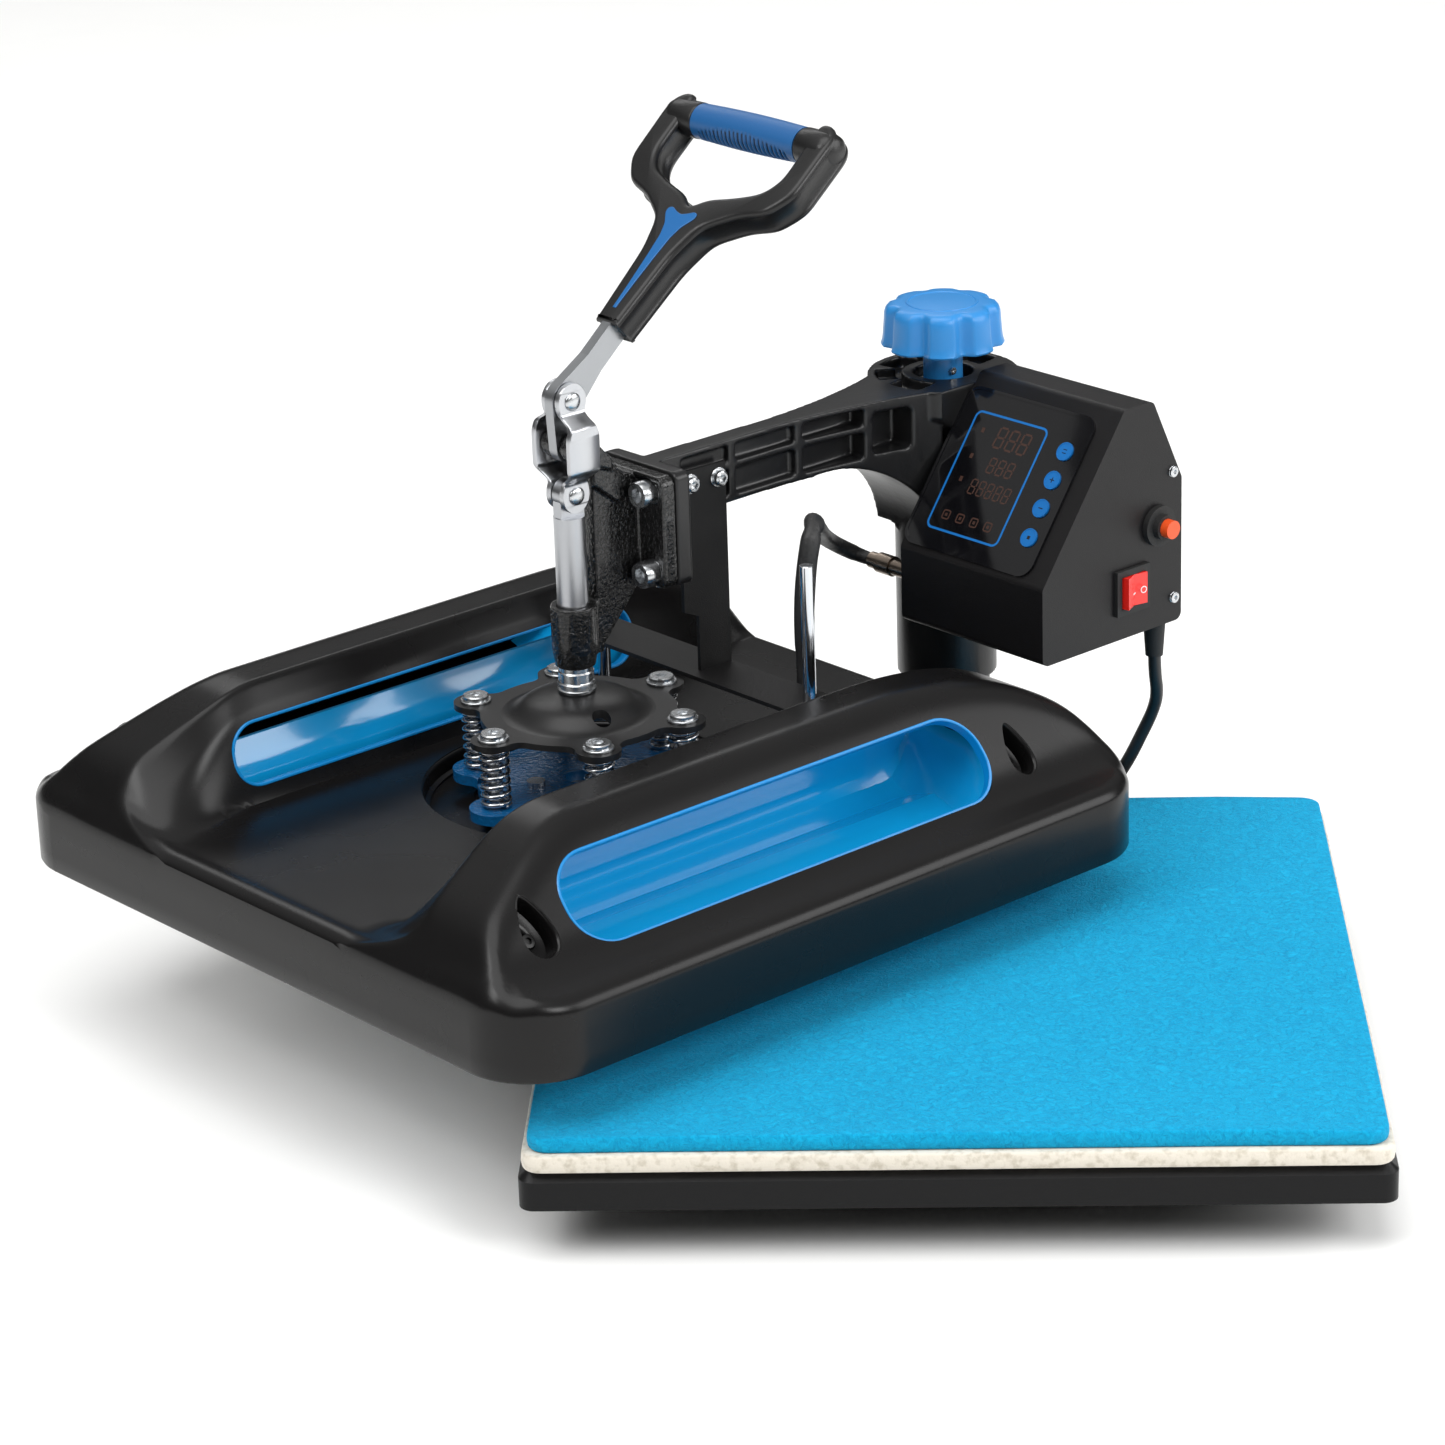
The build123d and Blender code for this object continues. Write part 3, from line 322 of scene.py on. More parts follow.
def tube(points, radius, sides=16, flat=1.0):
    """A tube along points, with capped ends, of one radius or of one for each point."""
    pts = [Vector(p) for p in points]
    rings = []
    up = Vector((0.13, 0.21, 0.97)).normalized()
    for i, p in enumerate(pts):
        ahead = (pts[min(i + 1, len(pts) - 1)] - pts[max(i - 1, 0)]).normalized()
        side = ahead.cross(up).normalized()
        up = side.cross(ahead).normalized()
        r = radius[i] if isinstance(radius, list) else radius
        rings.append([tuple(p + side * (r * cos(t)) + up * (r * flat * sin(t)))
                      for t in (2 * pi * k / sides for k in range(sides))])
    return loft(rings)


def spline_points(control, per_span=12):
    """Points along the smooth spline whose control points are given, in the row's frame, in metres."""
    curve = bpy.data.curves.new("route", "CURVE")
    curve.dimensions = "3D"
    curve.resolution_u = per_span
    spline = curve.splines.new("NURBS")
    spline.points.add(len(control) - 1)
    for point, place in zip(spline.points, control):
        point.co = (*place, 1)
    spline.order_u = 3
    spline.use_endpoint_u = True
    carrier = add_object("route", curve)
    bpy.context.view_layer.update()
    mesh = bpy.data.meshes.new_from_object(carrier)
    points = [v.co.copy() for v in mesh.vertices]
    bpy.data.objects.remove(carrier)
    return points


def polar(centre, radius, angle, *height):
    """A point at an angle round a centre, with its height if one is given."""
    return (centre[0] + radius * cos(angle), centre[1] + radius * sin(angle), *height)


def circle(radius, count, centre=(0, 0)):
    """Points round a circle."""
    return [polar(centre, radius, 2 * pi * k / count) for k in range(count)]


def stacked(levels, cap=True):
    """A loft over (outline, height) pairs."""
    return loft([[(x, y, z) for x, y in outline] for outline, z in levels], cap=cap)


def prism(outline, low, high):
    """A solid between two heights over an outline."""
    return stacked([(outline, low), (outline, high)])


def lathe(profile, turns=48, centre=(0, 0), cap=True):
    """A turned shape from (radius, z) pairs."""
    return stacked([(circle(r, turns, centre), z) for r, z in profile], cap)


def path_length(path):
    """The length of a line of points."""
    return sum((b - a).length for a, b in zip(path, path[1:]))


def join(parts):
    """Several (verts, faces) as one."""
    verts, faces = [], []
    for v, f in parts:
        base = len(verts)
        verts += list(v)
        faces += [tuple(i + base for i in face) for face in f]
    return verts, faces


def moved(shape, matrix):
    """A (verts, faces) shape through a matrix."""
    verts, faces = shape
    return [tuple(matrix @ Vector(v)) for v in verts], faces


# -------- mains lead
COIL = (127.0, -2.0)
SPLIT = Vector((97, -45, 89.5))
INWARD = Vector((-0.907, 0.42, 0)) * 0.42 + Vector((0, 0, -0.907))


def coil_points():
    """The coil's turns: two columns wide and three layers high, wound without a break."""
    points = []
    start = atan2(33.0, -30.0)
    layers = ((3.25, 39.1), (3.25, 32.75), (9.75, 32.9), (9.75, 39.1), (16.15, 39.1), (16.15, 32.75))
    per_turn = 14
    for turn, (z, r) in enumerate(layers):
        z_next, r_next = layers[min(turn + 1, len(layers) - 1)]
        for k in range(per_turn):
            t = k / per_turn
            mix = max(0.0, (t - 0.75) / 0.25)
            radius = r + (r_next - r) * mix
            points.append(polar(COIL, radius, start - 2 * pi * t, z + (z_next - z) * mix))
    return points + [polar(COIL, 34.5, start - 2 * pi * extra, 16.2) for extra in (0.04, 0.1)]


def mains_lead():
    """The lead from the gland to the plug, in one length."""
    gland = REST @ Vector((114, 33, 0))
    route = [(gland.x, gland.y, 153), (gland.x, gland.y, 131), (105, -54.5, 116.5),
             tuple(SPLIT - INWARD * 16), tuple(SPLIT), tuple(SPLIT + INWARD * 14), (85, -34.5, 62),
             (79, -25, 46), (77, -15, 31), (78, -4, 17.5), (81.5, 8.5, 7.8), (87.5, 21, 3.8)]
    route += coil_points()
    route += [(139, 36.7, 15.4), (152, 33.8, 12.6), (164, 26, 8.4), (172.5, 14.5, 5.4), (176.5, 0, 5.6),
              (177, -15, 8.6)]
    path = spline_points([Vector(p) * MM for p in route], 5)
    lead = piece("mains_lead", *tube([p / MM for p in path], 3.25, 14), M["cord"], arm=False, smooth=60)
    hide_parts("cord_drop", "cord_floor", "cord_coil", "cord_tail")
    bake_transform(lead)
    return lead, path, path_length(path)


lead, lead_path, lead_length = mains_lead()
print("mains lead length", round(lead_length, 3))


def coil_tie():
    """The strap that holds the coil together."""
    inner, outer = [], []
    for across, up in rounded_rect(17.5, 20.5, 4, 5):
        x, y, z = COIL[0] + 36.0 + across, COIL[1] - 1.0, max(0.6, 10.0 + up * 0.98)
        inner.append((x, y - 5, z))
        outer.append((x, y + 5, z))
    strap = piece("coil_tie", *loft([inner, outer], cap=False), M["cord"], arm=False)
    apply_modifier(strap, "SOLIDIFY", thickness=0.0009, offset=0)
    dress(strap, "cord_black", "base")
    return strap


tie = coil_tie()


# -------- heater cable
def heater_lead():
    """The sleeved heater cable: out of the socket, over, and down behind the crossbar."""
    route = [(-10.2, -42, 178), (-20, -42, 178), (-23, -59, 189), (-10, -78, 202), (10, -97, 213),
             (32, -119, 225), (51, -136, 236), (57, -144, 232), (56, -147, 216), (54, -147.5, 192),
             (52.5, -147, 160), (52, -147, 119)]
    path = spline_points([to_row(p) for p in route], 10)
    count = len(path)
    radii = []
    for i in range(count):
        t = i / (count - 1)
        swell = 0.25 * sin(9 * t) + 0.2 * sin(23 * t + 1)
        pinch = 1.1 * exp(-((t - 0.615) / 0.03) ** 2)
        fuller = 1.9 * max(0.0, sin(pi * min(1.0, t / 0.93))) ** 0.6
        radii.append(3.75 + swell * (1 if 0.06 < t < 0.9 else 0) - pinch + fuller)
    shape = tube([p / MM for p in path], radii, 16, flat=0.82)
    cable = piece("heater_lead", *shape, M["sleeve"], arm=False, smooth=60)
    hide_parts("heater_cable")
    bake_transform(cable)
    return cable, path, path_length(path)


heater, heater_path, heater_length = heater_lead()
print("heater lead length", round(heater_length, 3))


# -------- cover
HALF_X, HALF_Y, MIDDLE_Y, CORNER = 196, 197, -2, 36


def smooth_min(a, b, k):
    """The lesser of two values, with the corner where they meet rounded."""
    h = np.clip(k - np.abs(a - b), 0, None) / k
    return np.minimum(a, b) - h * h * k / 4


def smooth_max(a, b, k):
    """The greater of two values, with the corner where they meet rounded."""
    return -smooth_min(-a, -b, k)


def smooth_step(t):
    """0 to 1 with level ends."""
    return t * t * (3 - 2 * t)


RIDGE_POINTS = [(-240, 112), (-201, 118), (-196, 123), (-190, 132.5), (-185, 141), (-179, 147.8), (-170, 153),
                (-158, 159), (-146, 165), (-130, 171.5), (-116, 174.6), (-60, 174.8), (60, 174.8),
                (88, 174.6), (104, 173.4), (123, 171), (143, 166.5), (157, 161), (167, 156), (177, 149.5),
                (183, 143), (188, 133.5), (192, 125.5), (197, 118), (240, 112)]


def ridge_height(y):
    """The hump's side profile at each y, with its corners softened."""
    fine = np.arange(-240, 240.5, 1.0)
    heights = np.interp(fine, [p[0] for p in RIDGE_POINTS], [p[1] for p in RIDGE_POINTS])
    window = np.ones(9) / 9
    for _ in range(2):
        heights = np.convolve(np.pad(heights, 4, mode="edge"), window, mode="valid")
    return np.interp(y, fine, heights)


def edge_distance(x, y):
    """How far a point is inside the cover's rounded outline."""
    qx = np.abs(x) - (HALF_X - CORNER)
    qy = np.abs(y - MIDDLE_Y) - (HALF_Y - CORNER)
    outside = np.hypot(np.maximum(qx, 0), np.maximum(qy, 0)) + np.minimum(np.maximum(qx, qy), 0)
    return CORNER - outside


def cover_height(x, y):
    """The height of the cover's top at a place, for x and y from the platen's centre."""
    ax = np.abs(x)
    ridge = ridge_height(y)
    front = smooth_step(np.clip((-128 - y) / 66.0, 0, 1))
    foot = 88 - 20 * front
    crease = 105.7 + 10 * front - 45 * np.clip((-185 - y) / 13.0, 0, 1.2) ** 2
    share = np.clip((ax - foot) / (crease - foot), 0, 2)
    straight = smooth_min(share * 1.46, 0.745 + (share - 0.51) * 0.52, 0.12)
    wall = straight * (1 - front) + share ** 1.35 * front
    inner = 118.5 + (ridge - 118.5) * wall
    outer = 174.5 - (ax - 132.5) * 1.19
    hump = smooth_min(inner, ridge, 2.2)
    hump = smooth_min(hump, outer, 10)
    fade = np.clip(np.minimum(y + 199, 195 - y) / 16.0, 0, 1)
    shoulder = 119.5 + (1.5 + np.clip(196 - ax, 0, 40) * 0.27 - np.clip(150 - ax, 0, 40) * 0.3) * fade
    valley = 118.5 + 1.5 * np.exp(-((y + 190.5) / 3.4) ** 2)
    outside = smooth_step(np.clip((ax - 108) / 40.0, 0, 1))
    base = valley + (shoulder - valley) * outside
    d = np.clip(edge_distance(x, y), 0, 6)
    drop = 6 - np.sqrt(np.clip(36 - (6 - d) ** 2, 0, None))
    return smooth_max(base, hump, 8) - drop


def grid_lines(low, high, step):
    """Samples between two edges, close together near both."""
    near = [0, 0.3, 0.8, 1.4, 2.2, 3.1, 4.1, 5.2, 6.4, 7.6, 9, 10.5, 12, 13.5, 15]
    middle_low, middle_high = low + 16.5, high - 16.5
    count = max(2, round((middle_high - middle_low) / step))
    inner = [middle_low + (middle_high - middle_low) * k / count for k in range(count + 1)]
    return [low + n for n in near] + inner + [high - n for n in near[::-1]]


def cover_grid():
    """Sample places over the cover's outline: columns follow the rounded corners."""
    half = [0, 8, 16, 24, 32, 40, 48, 56, 64, 70, 76, 80, 83, 85.5]
    half += list(np.arange(87, 108, 0.9)) + list(np.arange(108.5, 176, 2.25)) + [178, 181, 184, 187]
    half += [188.5, 190, 191.5, 192.7, 193.8, 194.7, 195.4, 195.8, HALF_X]
    xs = np.array([-v for v in half[:0:-1]] + half)
    ys = np.array(grid_lines(MIDDLE_Y - HALF_Y, MIDDLE_Y + HALF_Y, 2.6))
    rows = []
    for y in ys:
        over = max(0.0, abs(y - MIDDLE_Y) - (HALF_Y - CORNER))
        width = HALF_X - CORNER + sqrt(max(0.0, CORNER ** 2 - over ** 2))
        stretched = np.sign(xs) * (88 + (np.abs(xs) - 88) * (width - 88) / (HALF_X - 88))
        rows.append(np.where(np.abs(xs) > 88, stretched, xs))
    return np.array(rows), np.repeat(ys[:, None], len(xs), axis=1)


def cover_shell():
    """The cover's top surface with its skirt; it gets its thickness later."""
    gx, gy = cover_grid()
    top = np.stack([gx, gy + PLATEN_Y, cover_height(gx, gy)], axis=2)
    verts, faces = loft(top.tolist(), closed=False, cap=False)
    index = np.arange(gx.size).reshape(gx.shape)
    loop = np.concatenate([index[0], index[1:, -1], index[-1, -2::-1], index[-2:0:-1, 0]]).tolist()
    previous = loop
    for share, inset in ((0.35, 0.0), (0.7, 0.0), (0.96, 0.0), (1.0, 0.7)):
        ring = []
        for k in loop:
            x, y, z = verts[k]
            away = Vector((x, y - PLATEN_Y - MIDDLE_Y, 0)).normalized() * inset
            ring.append(len(verts))
            verts.append((x - away.x, y - away.y, z + (85.9 - z) * share))
        for k in range(len(loop)):
            faces.append((previous[k - 1], ring[k - 1], ring[k], previous[k]))
        previous = ring
    return piece("cover_moulding", verts, faces, M["cover"], smooth=50)


def slope_frame(side):
    """The outer slope of a hump: its matrix takes (along y, down the slope, out) to the arm's frame."""
    axes = Matrix(((0, 1, 0), (0.643 * side, 0, -0.766), (0.766 * side, 0, 0.643)))
    return Matrix.Translation((132.5 * side, PLATEN_Y, 174.5)) @ axes.transposed().to_4x4()


def wall_frame(side):
    """The inner wall of a hump: (along y, down the wall, out towards the valley)."""
    down = Vector((-9 * side, 0, -42.5)).normalized()
    axes = Matrix(((0, 1, 0), down, (-0.978 * side, 0, 0.207)))
    return Matrix.Translation((97.2 * side, PLATEN_Y, 160.5)) @ axes.transposed().to_4x4()


def teardrop(centre_y, top, bottom, half):
    """A pointed drop, its tip up the slope."""
    points = []
    for k in range(36):
        t = 2 * pi * k / 36
        v = (1 - cos(t)) / 2
        width = half * sin(t) * (0.42 + 0.62 * v)
        points.append((centre_y + width, top + (bottom - top) * v))
    return points


OUTER_WINDOW = (-12.5, 38.2, 257.0, 45.6, 21.0)
INNER_WINDOW = (-11.0, 17.6, 250.0, 32.4, 15.0)
DROPS = [(-159.0, 26.0, 57.0, 11.5), (135.0, 29.0, 57.0, 9.5)]


def window_outline(window, inset):
    """A window's outline, drawn in by inset."""
    y, down, long, wide, corner = window
    outline = rounded_rect(long - 2 * inset, wide - 2 * inset, max(2.0, corner - inset), 10)
    return [(a + y, b + down) for a, b in outline]


def window_cutters():
    """Solids that open the windows and the drops of both humps."""
    shapes = []
    for side in (-1, 1):
        shapes.append(moved(prism(window_outline(OUTER_WINDOW, 0.0), -6, 14), slope_frame(side)))
        shapes.append(moved(prism(window_outline(INNER_WINDOW, 0.0), -6, 7), wall_frame(side)))
        shapes += [moved(prism(teardrop(*drop), -9, 14), slope_frame(side)) for drop in DROPS]
    return shapes


def build_cover():
    """The cover with its windows, its opening over the spiders, and holes for the rods and the cable."""
    cover = cover_shell()
    apply_modifier(cover, "SOLIDIFY", thickness=0.003, offset=-1.0)
    shapes = window_cutters() + [prism(circle(77, 96, (0, PLATEN_Y)), 100, 130)]
    for x, y, radius in ((-76, -165, 4.2), (76, -165, 4.2), (52, -147, 5.6)):
        shapes.append(lathe([(radius, 108), (radius, 124)], 24, (x, y)))
    cut(cover, [piece("cutter", *shape, M["cover"]) for shape in shapes])
    finish_shading(cover, 42)
    dress(cover, "cover_black", "platen", "top_cover")


build_cover()


def build_trays():
    """The glossy azure tray in each hump, from under the outer window in to the inner one."""
    profile = [(176, 120), (170, 118), (160, 114.6), (148, 112.6), (137, 112.4), (126, 112.6), (117, 113.4),
               (109, 115.2), (104, 119), (102.4, 124), (102.6, 130), (106.2, 138), (109.8, 145), (110.8, 145.3)]
    ys = [-149, -147, -145, -142, -138, -133, -127, *range(-120, 101, 10), 106, 111, 115, 118, 121, 123]
    trays = []
    for side in (-1, 1):
        rings = []
        for y in ys:
            rise = 0.075 * max(0.0, -127 - y, y - 102) ** 2
            rings.append([(side * x, y + PLATEN_Y, min(z + rise * (1 if z < 125 else 0.4),
                                                       float(cover_height(float(x), float(y))) - 4.4))
                          for x, z in profile])
        trays.append(loft(rings, closed=False, cap=False))
    # The trays' azure glows a little: painted light standing in for light that does not reach under the cover.
    tray = piece("hump_trays", *join(trays), M["azure"], smooth=28)
    tray.data.materials.append(M["cover"])
    back = REST.inverted()
    for face in tray.data.polygons:
        place = back @ face.center
        if abs(place.x) > 0.161 and abs(place.y + 0.254) < 0.108:
            face.material_index = 1
    apply_modifier(tray, "SOLIDIFY", thickness=0.001, offset=-1.0)
    dress(tray, "liner_blue", "platen")


build_trays()


def build_rims():
    """A bright lip round each window, and a dark pocket with a screw head in each drop."""
    rims, pockets, screws = [], [], []
    for side in (-1, 1):
        for window, place, deep in ((OUTER_WINDOW, slope_frame(side), -4.6),
                                    (INNER_WINDOW, wall_frame(side), -4.4)):
            lip = ((0.05, deep), (0.05, 0.0), (0.35, 0.32), (1.1, 0.32), (1.5, 0.0), (1.5, deep),
                   (0.05, deep))
            levels = [(window_outline(window, inset), level) for inset, level in lip]
            rims.append(moved(stacked(levels, cap=False), place))
        for drop in DROPS:
            outline = teardrop(*drop)
            mx, my = np.mean(outline, axis=0)
            walls = ((1.02, -0.4), (0.96, -3.0), (0.9, -11.5), (0.5, -12.5), (0.05, -12.6))
            levels = [([(mx + (x - mx) * share, my + (y - my) * share) for x, y in outline], level)
                      for share, level in walls]
            pockets.append(moved(stacked(levels, cap=False), slope_frame(side)))
            head = lathe([(3.9, -12.5), (3.9, -10.6), (3.2, -9.8), (1.7, -9.7), (1.6, -11.0)], 24,
                         (mx, my + 3))
            screws.append(moved(head, slope_frame(side)))
    rim = piece("window_rims", *join(rims), M["rim"], smooth=35)
    pocket = piece("screw_pockets", *join(pockets), M["cover"], smooth=50)
    apply_modifier(pocket, "SOLIDIFY", thickness=0.0008, offset=0)
    screw = piece("cover_screw_heads", *join(screws), M["blackened"], smooth=35)
    dress(rim, "liner_blue", "platen")
    dress(pocket, "cover_black", "platen")
    dress(screw, "screw_black", "platen", "cover_screws")


build_rims()


def build_hole_rim():
    """The rolled edge round the opening over the spiders."""
    edge = [(78.6, 118.3), (78.4, 119.5), (77.4, 120.2), (76.2, 119.6), (75.6, 118.2), (75.4, 112.6),
            (73.4, 111.6), (73.3, 110.6), (76.6, 110.6), (77.0, 114), (77.4, 117.5)]
    floor = [(47, 109.4), (76.5, 109.4), (76.5, 110.4), (47, 110.4)]
    shape = join([lathe(outline + outline[:1], count, (0, PLATEN_Y), cap=False)
                  for outline, count in ((edge, 128), (floor, 96))])
    dress(piece("opening_rim", *shape, M["cover"], smooth=50), "cover_black", "platen")


build_hole_rim()


# -------- pads
def resampled(outline, step, scale=1.0):
    """A closed outline with points about a step apart, where scale takes its lengths to the step's unit."""
    dense = []
    for (ax, ay), (bx, by) in zip(outline, outline[1:] + outline[:1]):
        parts = max(1, round(hypot(bx - ax, by - ay) * scale / step))
        dense += [(ax + (bx - ax) * k / parts, ay + (by - ay) * k / parts) for k in range(parts)]
    return dense


def soft_sheet(name, width, depth, corner, low, high, look, wave, droop, bulge, seed):
    """A pad with soft edges: a gently uneven top, sides that bulge a little, and corners that sink."""
    rng = np.random.default_rng(seed)
    waves = [(rng.uniform(0.01, 0.035), rng.uniform(0.01, 0.035), rng.uniform(0, 6.28)) for _ in range(5)]
    half = width / 2
    dense = resampled(rounded_rect(2.0, 2.0 * depth / width, corner / width * 2, 6), 6, half)

    def uneven(x, y):
        return sum(sin(p * x + q * y + r) for p, q, r in waves) / len(waves) * wave

    def lift(x, y):
        sink = droop * max(0.0, (abs(x) / half) * (abs(y) / (depth / 2)) - 0.72) / 0.28
        return uneven(x, y) - wave * 0.6 - sink

    rings = []
    for inset, up in ((0.8, 0.0), (0.1, 0.12), (-bulge, 0.5), (0.0, 0.88), (0.25, 0.96), (0.9, 1.0),
                      (6, 1.0)):
        ring = []
        for u, v in dense:
            x, y = u * half, v * half
            size = hypot(x, y)
            x, y = x - x / size * inset, y - y / size * inset
            edge = uneven(x * 1.7, y * 1.7) * 0.6
            ring.append((x + edge * (x / size), y + edge * (y / size) + PLATEN_Y,
                         low + (high - low) * up + lift(x, y) * up))
        rings.append(ring)
    top = rings[-1]
    for k in range(1, 12):
        share = 1 - k / 12.0
        inner = [(x * share, (y - PLATEN_Y) * share) for x, y, _ in top]
        rings.append([(x, y + PLATEN_Y, high + lift(x, y)) for x, y in inner])
    sheet = piece(name, *loft(rings), look, arm=False, smooth=60)
    return sheet


dress(soft_sheet("foam_pad", 371, 378, 9, 52.75, 60.8, M["foam"], 0.5, 1.2, 0.35, 3),
      "azure_silicone", "base", "silicone_pad")
dress(soft_sheet("felt_underlay", 376, 384, 8, 44.5, 52.7, M["felt"], 0.35, 0.3, 0.5, 11),
      "felt", "base", "felt_pad")


# -------- knob
def build_knob():
    """The lobed knob: a flared skirt, eight lobes and a slightly domed top."""
    levels = [(285.0, 0.70, 0.0), (284.4, 0.9, 0.7), (284.3, 1.0, 1.0), (285.2, 1.018, 1.0),
              (287.2, 0.995, 1.0), (290, 0.982, 1.0), (294, 0.972, 1.0), (298, 0.962, 1.0),
              (301.2, 0.955, 0.98), (303.4, 0.93, 0.92), (304.9, 0.885, 0.8), (305.5, 0.82, 0.6),
              (305.6, 0.72, 0.3), (305.75, 0.6, 0.1), (306.15, 0.59, 0.05), (306.2, 0.56, 0.03),
              (305.85, 0.545, 0.0), (306.1, 0.4, 0.0), (306.35, 0.2, 0.0), (306.4, 0.02, 0.0)]
    around = []
    for k in range(192):
        t = 2 * pi * k / 192
        wave = cos(8 * t)
        around.append((t, 3.2 * (max(0.0, -wave) ** 1.3) + 0.9 * (1 - wave) / 2))
    rings = [[polar((0, 0), (30.4 - groove * lobes) * size, t, z) for t, groove in around]
             for z, size, lobes in levels]
    stub = lathe([(9.9, 285.2), (9.9, 268), (10.0, 264.6), (8.2, 264.5)])
    knob = piece("knob_moulding", *join([loft(rings), stub]), M["knob"], smooth=40)
    dress(knob, "knob_blue", "knob", "knob")
    washer = lathe([(8.1, 263.2), (13.2, 263.2), (13.4, 263.8), (13.0, 264.4), (8.1, 264.45)])
    set_screw = moved(lathe([(0.3, 0), (1.7, 0), (1.9, 1.4), (0.9, 1.5), (0.8, 0.7)], 20),
                      Matrix.Translation((9.6, -3.2, 272.5)) @ ASIDE)
    dress(piece("knob_washer", *join([washer, set_screw]), M["zinc"]), "zinc", "knob")


build_knob()


# -------- springs and bolts
BOLTS = [polar((0, PLATEN_Y), 52.5, radians(angle)) for angle in range(30, 360, 60)]


def build_springs():
    """Six springs: open middle turns between closed ends."""
    parts = []
    for bolt in BOLTS:
        points = []
        for k in range(int(7.4 * 24) + 1):
            turn = k / 24
            if turn < 1:
                rise = 0.06 * turn
            elif turn > 6.4:
                rise = 1 - 0.06 * (7.4 - turn)
            else:
                rise = 0.06 + 0.88 * (turn - 1) / 5.4
            points.append(polar(bolt, 6.4, 2 * pi * turn, 123.3 + (151.7 - 123.3) * rise))
        parts.append(tube(points, 1.15, 10))
    springs = piece("coil_springs", *join(parts), M["spring"], smooth=60)
    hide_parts("springs")
    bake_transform(springs)


build_springs()


def hex_socket(radius, top, depth):
    """A cap head's top with a hexagon socket, as rings from the rim inwards and down."""
    rings = []
    for level, size in ((top, radius), (top - depth, radius), (top - depth - 0.8, 0.05)):
        ring = []
        for k in range(36):
            t = 2 * pi * k / 36
            six = 1 / cos(((t + pi / 6) % (pi / 3)) - pi / 6)
            ring.append(polar((0, 0), size * six, t, level))
        rings.append(ring)
    return rings


def cap_head(base_r, height, top_r, socket_r, washer_r, washer):
    """A washer and a round head with a hexagon socket, standing at z 0."""
    shoulder = (base_r + top_r) / 2 + 0.35
    outline = [(washer_r - 0.3, 0), (washer_r, 0.25), (washer_r, washer - 0.25), (washer_r - 0.35, washer),
               (base_r, washer), (base_r, washer + height * 0.35), (shoulder, washer + height * 0.8),
               (top_r, washer + height)]
    rings = [[(x, y, z) for x, y in circle(r, 36)] for r, z in outline]
    rings += hex_socket(socket_r, washer + height, height * 0.55)
    return loft(rings)


def build_platen_bolts():
    """The six shoulder bolts' heads, washers and shanks."""
    parts = []
    for x, y in BOLTS:
        head = cap_head(6.2, 2.3, 5.6, 2.4, 7.5, 1.3)
        parts.append(moved(head, Matrix.Translation((x, y, 156))))
        parts.append(lathe([(3.5, 112), (3.5, 156)], 24, (x, y)))
    bolts = piece("platen_bolt_heads", *join(parts), M["zinc"], smooth=32)
    dress(bolts, "zinc", "platen", "platen_bolts")


build_platen_bolts()


def build_plunger_nut():
    """The stepped collar between the barrel and the upper spider."""
    outline = [(7.6, 166.65), (9.0, 166.7), (9.3, 167.2), (9.3, 168.2), (8.8, 168.6), (8.4, 168.8),
               (8.4, 169.6), (8.9, 169.9), (8.9, 171.2), (8.4, 171.6), (8.2, 172.0), (8.6, 172.5),
               (8.6, 176.6), (8.1, 177.3), (8.1, 179.2), (7.6, 179.3)]
    collar = piece("plunger_collar", *lathe(outline, 48, (0, PLUNGER_Y)), M["zinc"], smooth=32)
    dress(collar, "zinc", "plunger", "plunger_nut")


build_plunger_nut()


def build_arm_screws():
    """The screw heads of the toggle casting, the control box and the guide bracket."""
    forward = Matrix.Rotation(radians(90), 4, "X")
    groups = [
        ("casting_bolt_heads", "casting_bolts", cap_head(6.5, 8.0, 6.0, 3.3, 6.55, 0.6), forward,
         [(x, -207.6, z) for x in (-15, 15) for z in (220, 260)]),
        ("box_screw_heads", "box_screws", cap_head(2.6, 1.3, 2.0, 1.1, 2.8, 0.3), ASIDE,
         [(125.0, 34, 236.5), (125.0, 35, 171)]),
        ("bracket_screw_heads", "bracket_screws", cap_head(3.9, 2.9, 2.9, 1.9, 5.0, 0.9), ASIDE,
         [(8.0, -177, 254.8), (8.0, -159, 254.0)]),
    ]
    for name, node, head, turn, places in groups:
        heads = [moved(head, Matrix.Translation(place) @ turn) for place in places]
        dress(piece(name, *join(heads), M["zinc"], smooth=32), "zinc", "arm", node)


build_arm_screws()


# -------- linkage
def ease(value, low, high):
    """0 below low, 1 above high, smooth between."""
    return smooth_step(max(0.0, min(1.0, (value - low) / (high - low))))


def link_plate(side):
    """One pressed link: flat eyes near the lever, and a bulge that clears the pivot ear."""
    top, low = LINK_TOP, LINK_LOW
    rings = []
    count = 76
    for k in range(count + 1):
        share = (1 - cos(pi * k / count)) / 2
        z = top + 8.7 + (low - 8.4 - top - 8.7) * share
        upper = sqrt(max(0.0, 8.7 ** 2 - (z - top) ** 2))
        lower = sqrt(max(0.0, 8.4 ** 2 - (z - low) ** 2))
        waist = 6.9 + 2.4 * ease(z, 272, 280) * (1 - ease(z, 294, 303))
        middle = waist if low + 2 < z < top - 2 else 0.0
        half = max(0.3, float(smooth_max(max(upper, lower), middle, 2.5 if middle else 0.1)))
        inner = 3.3 + 7.8 * ease(z, 270.5, 278.5) * (1 - ease(z, 299.0, 306.0))
        ring = []
        for x, y in ((0.5, -1), (0.0, -0.93), (0.0, 0.93), (0.5, 1), (2.5, 1), (3.0, 0.93), (3.0, -0.93),
                     (2.5, -1)):
            ring.append((side * (inner + x), PLUNGER_Y + y * half, z))
        rings.append(ring)
    return loft(rings)


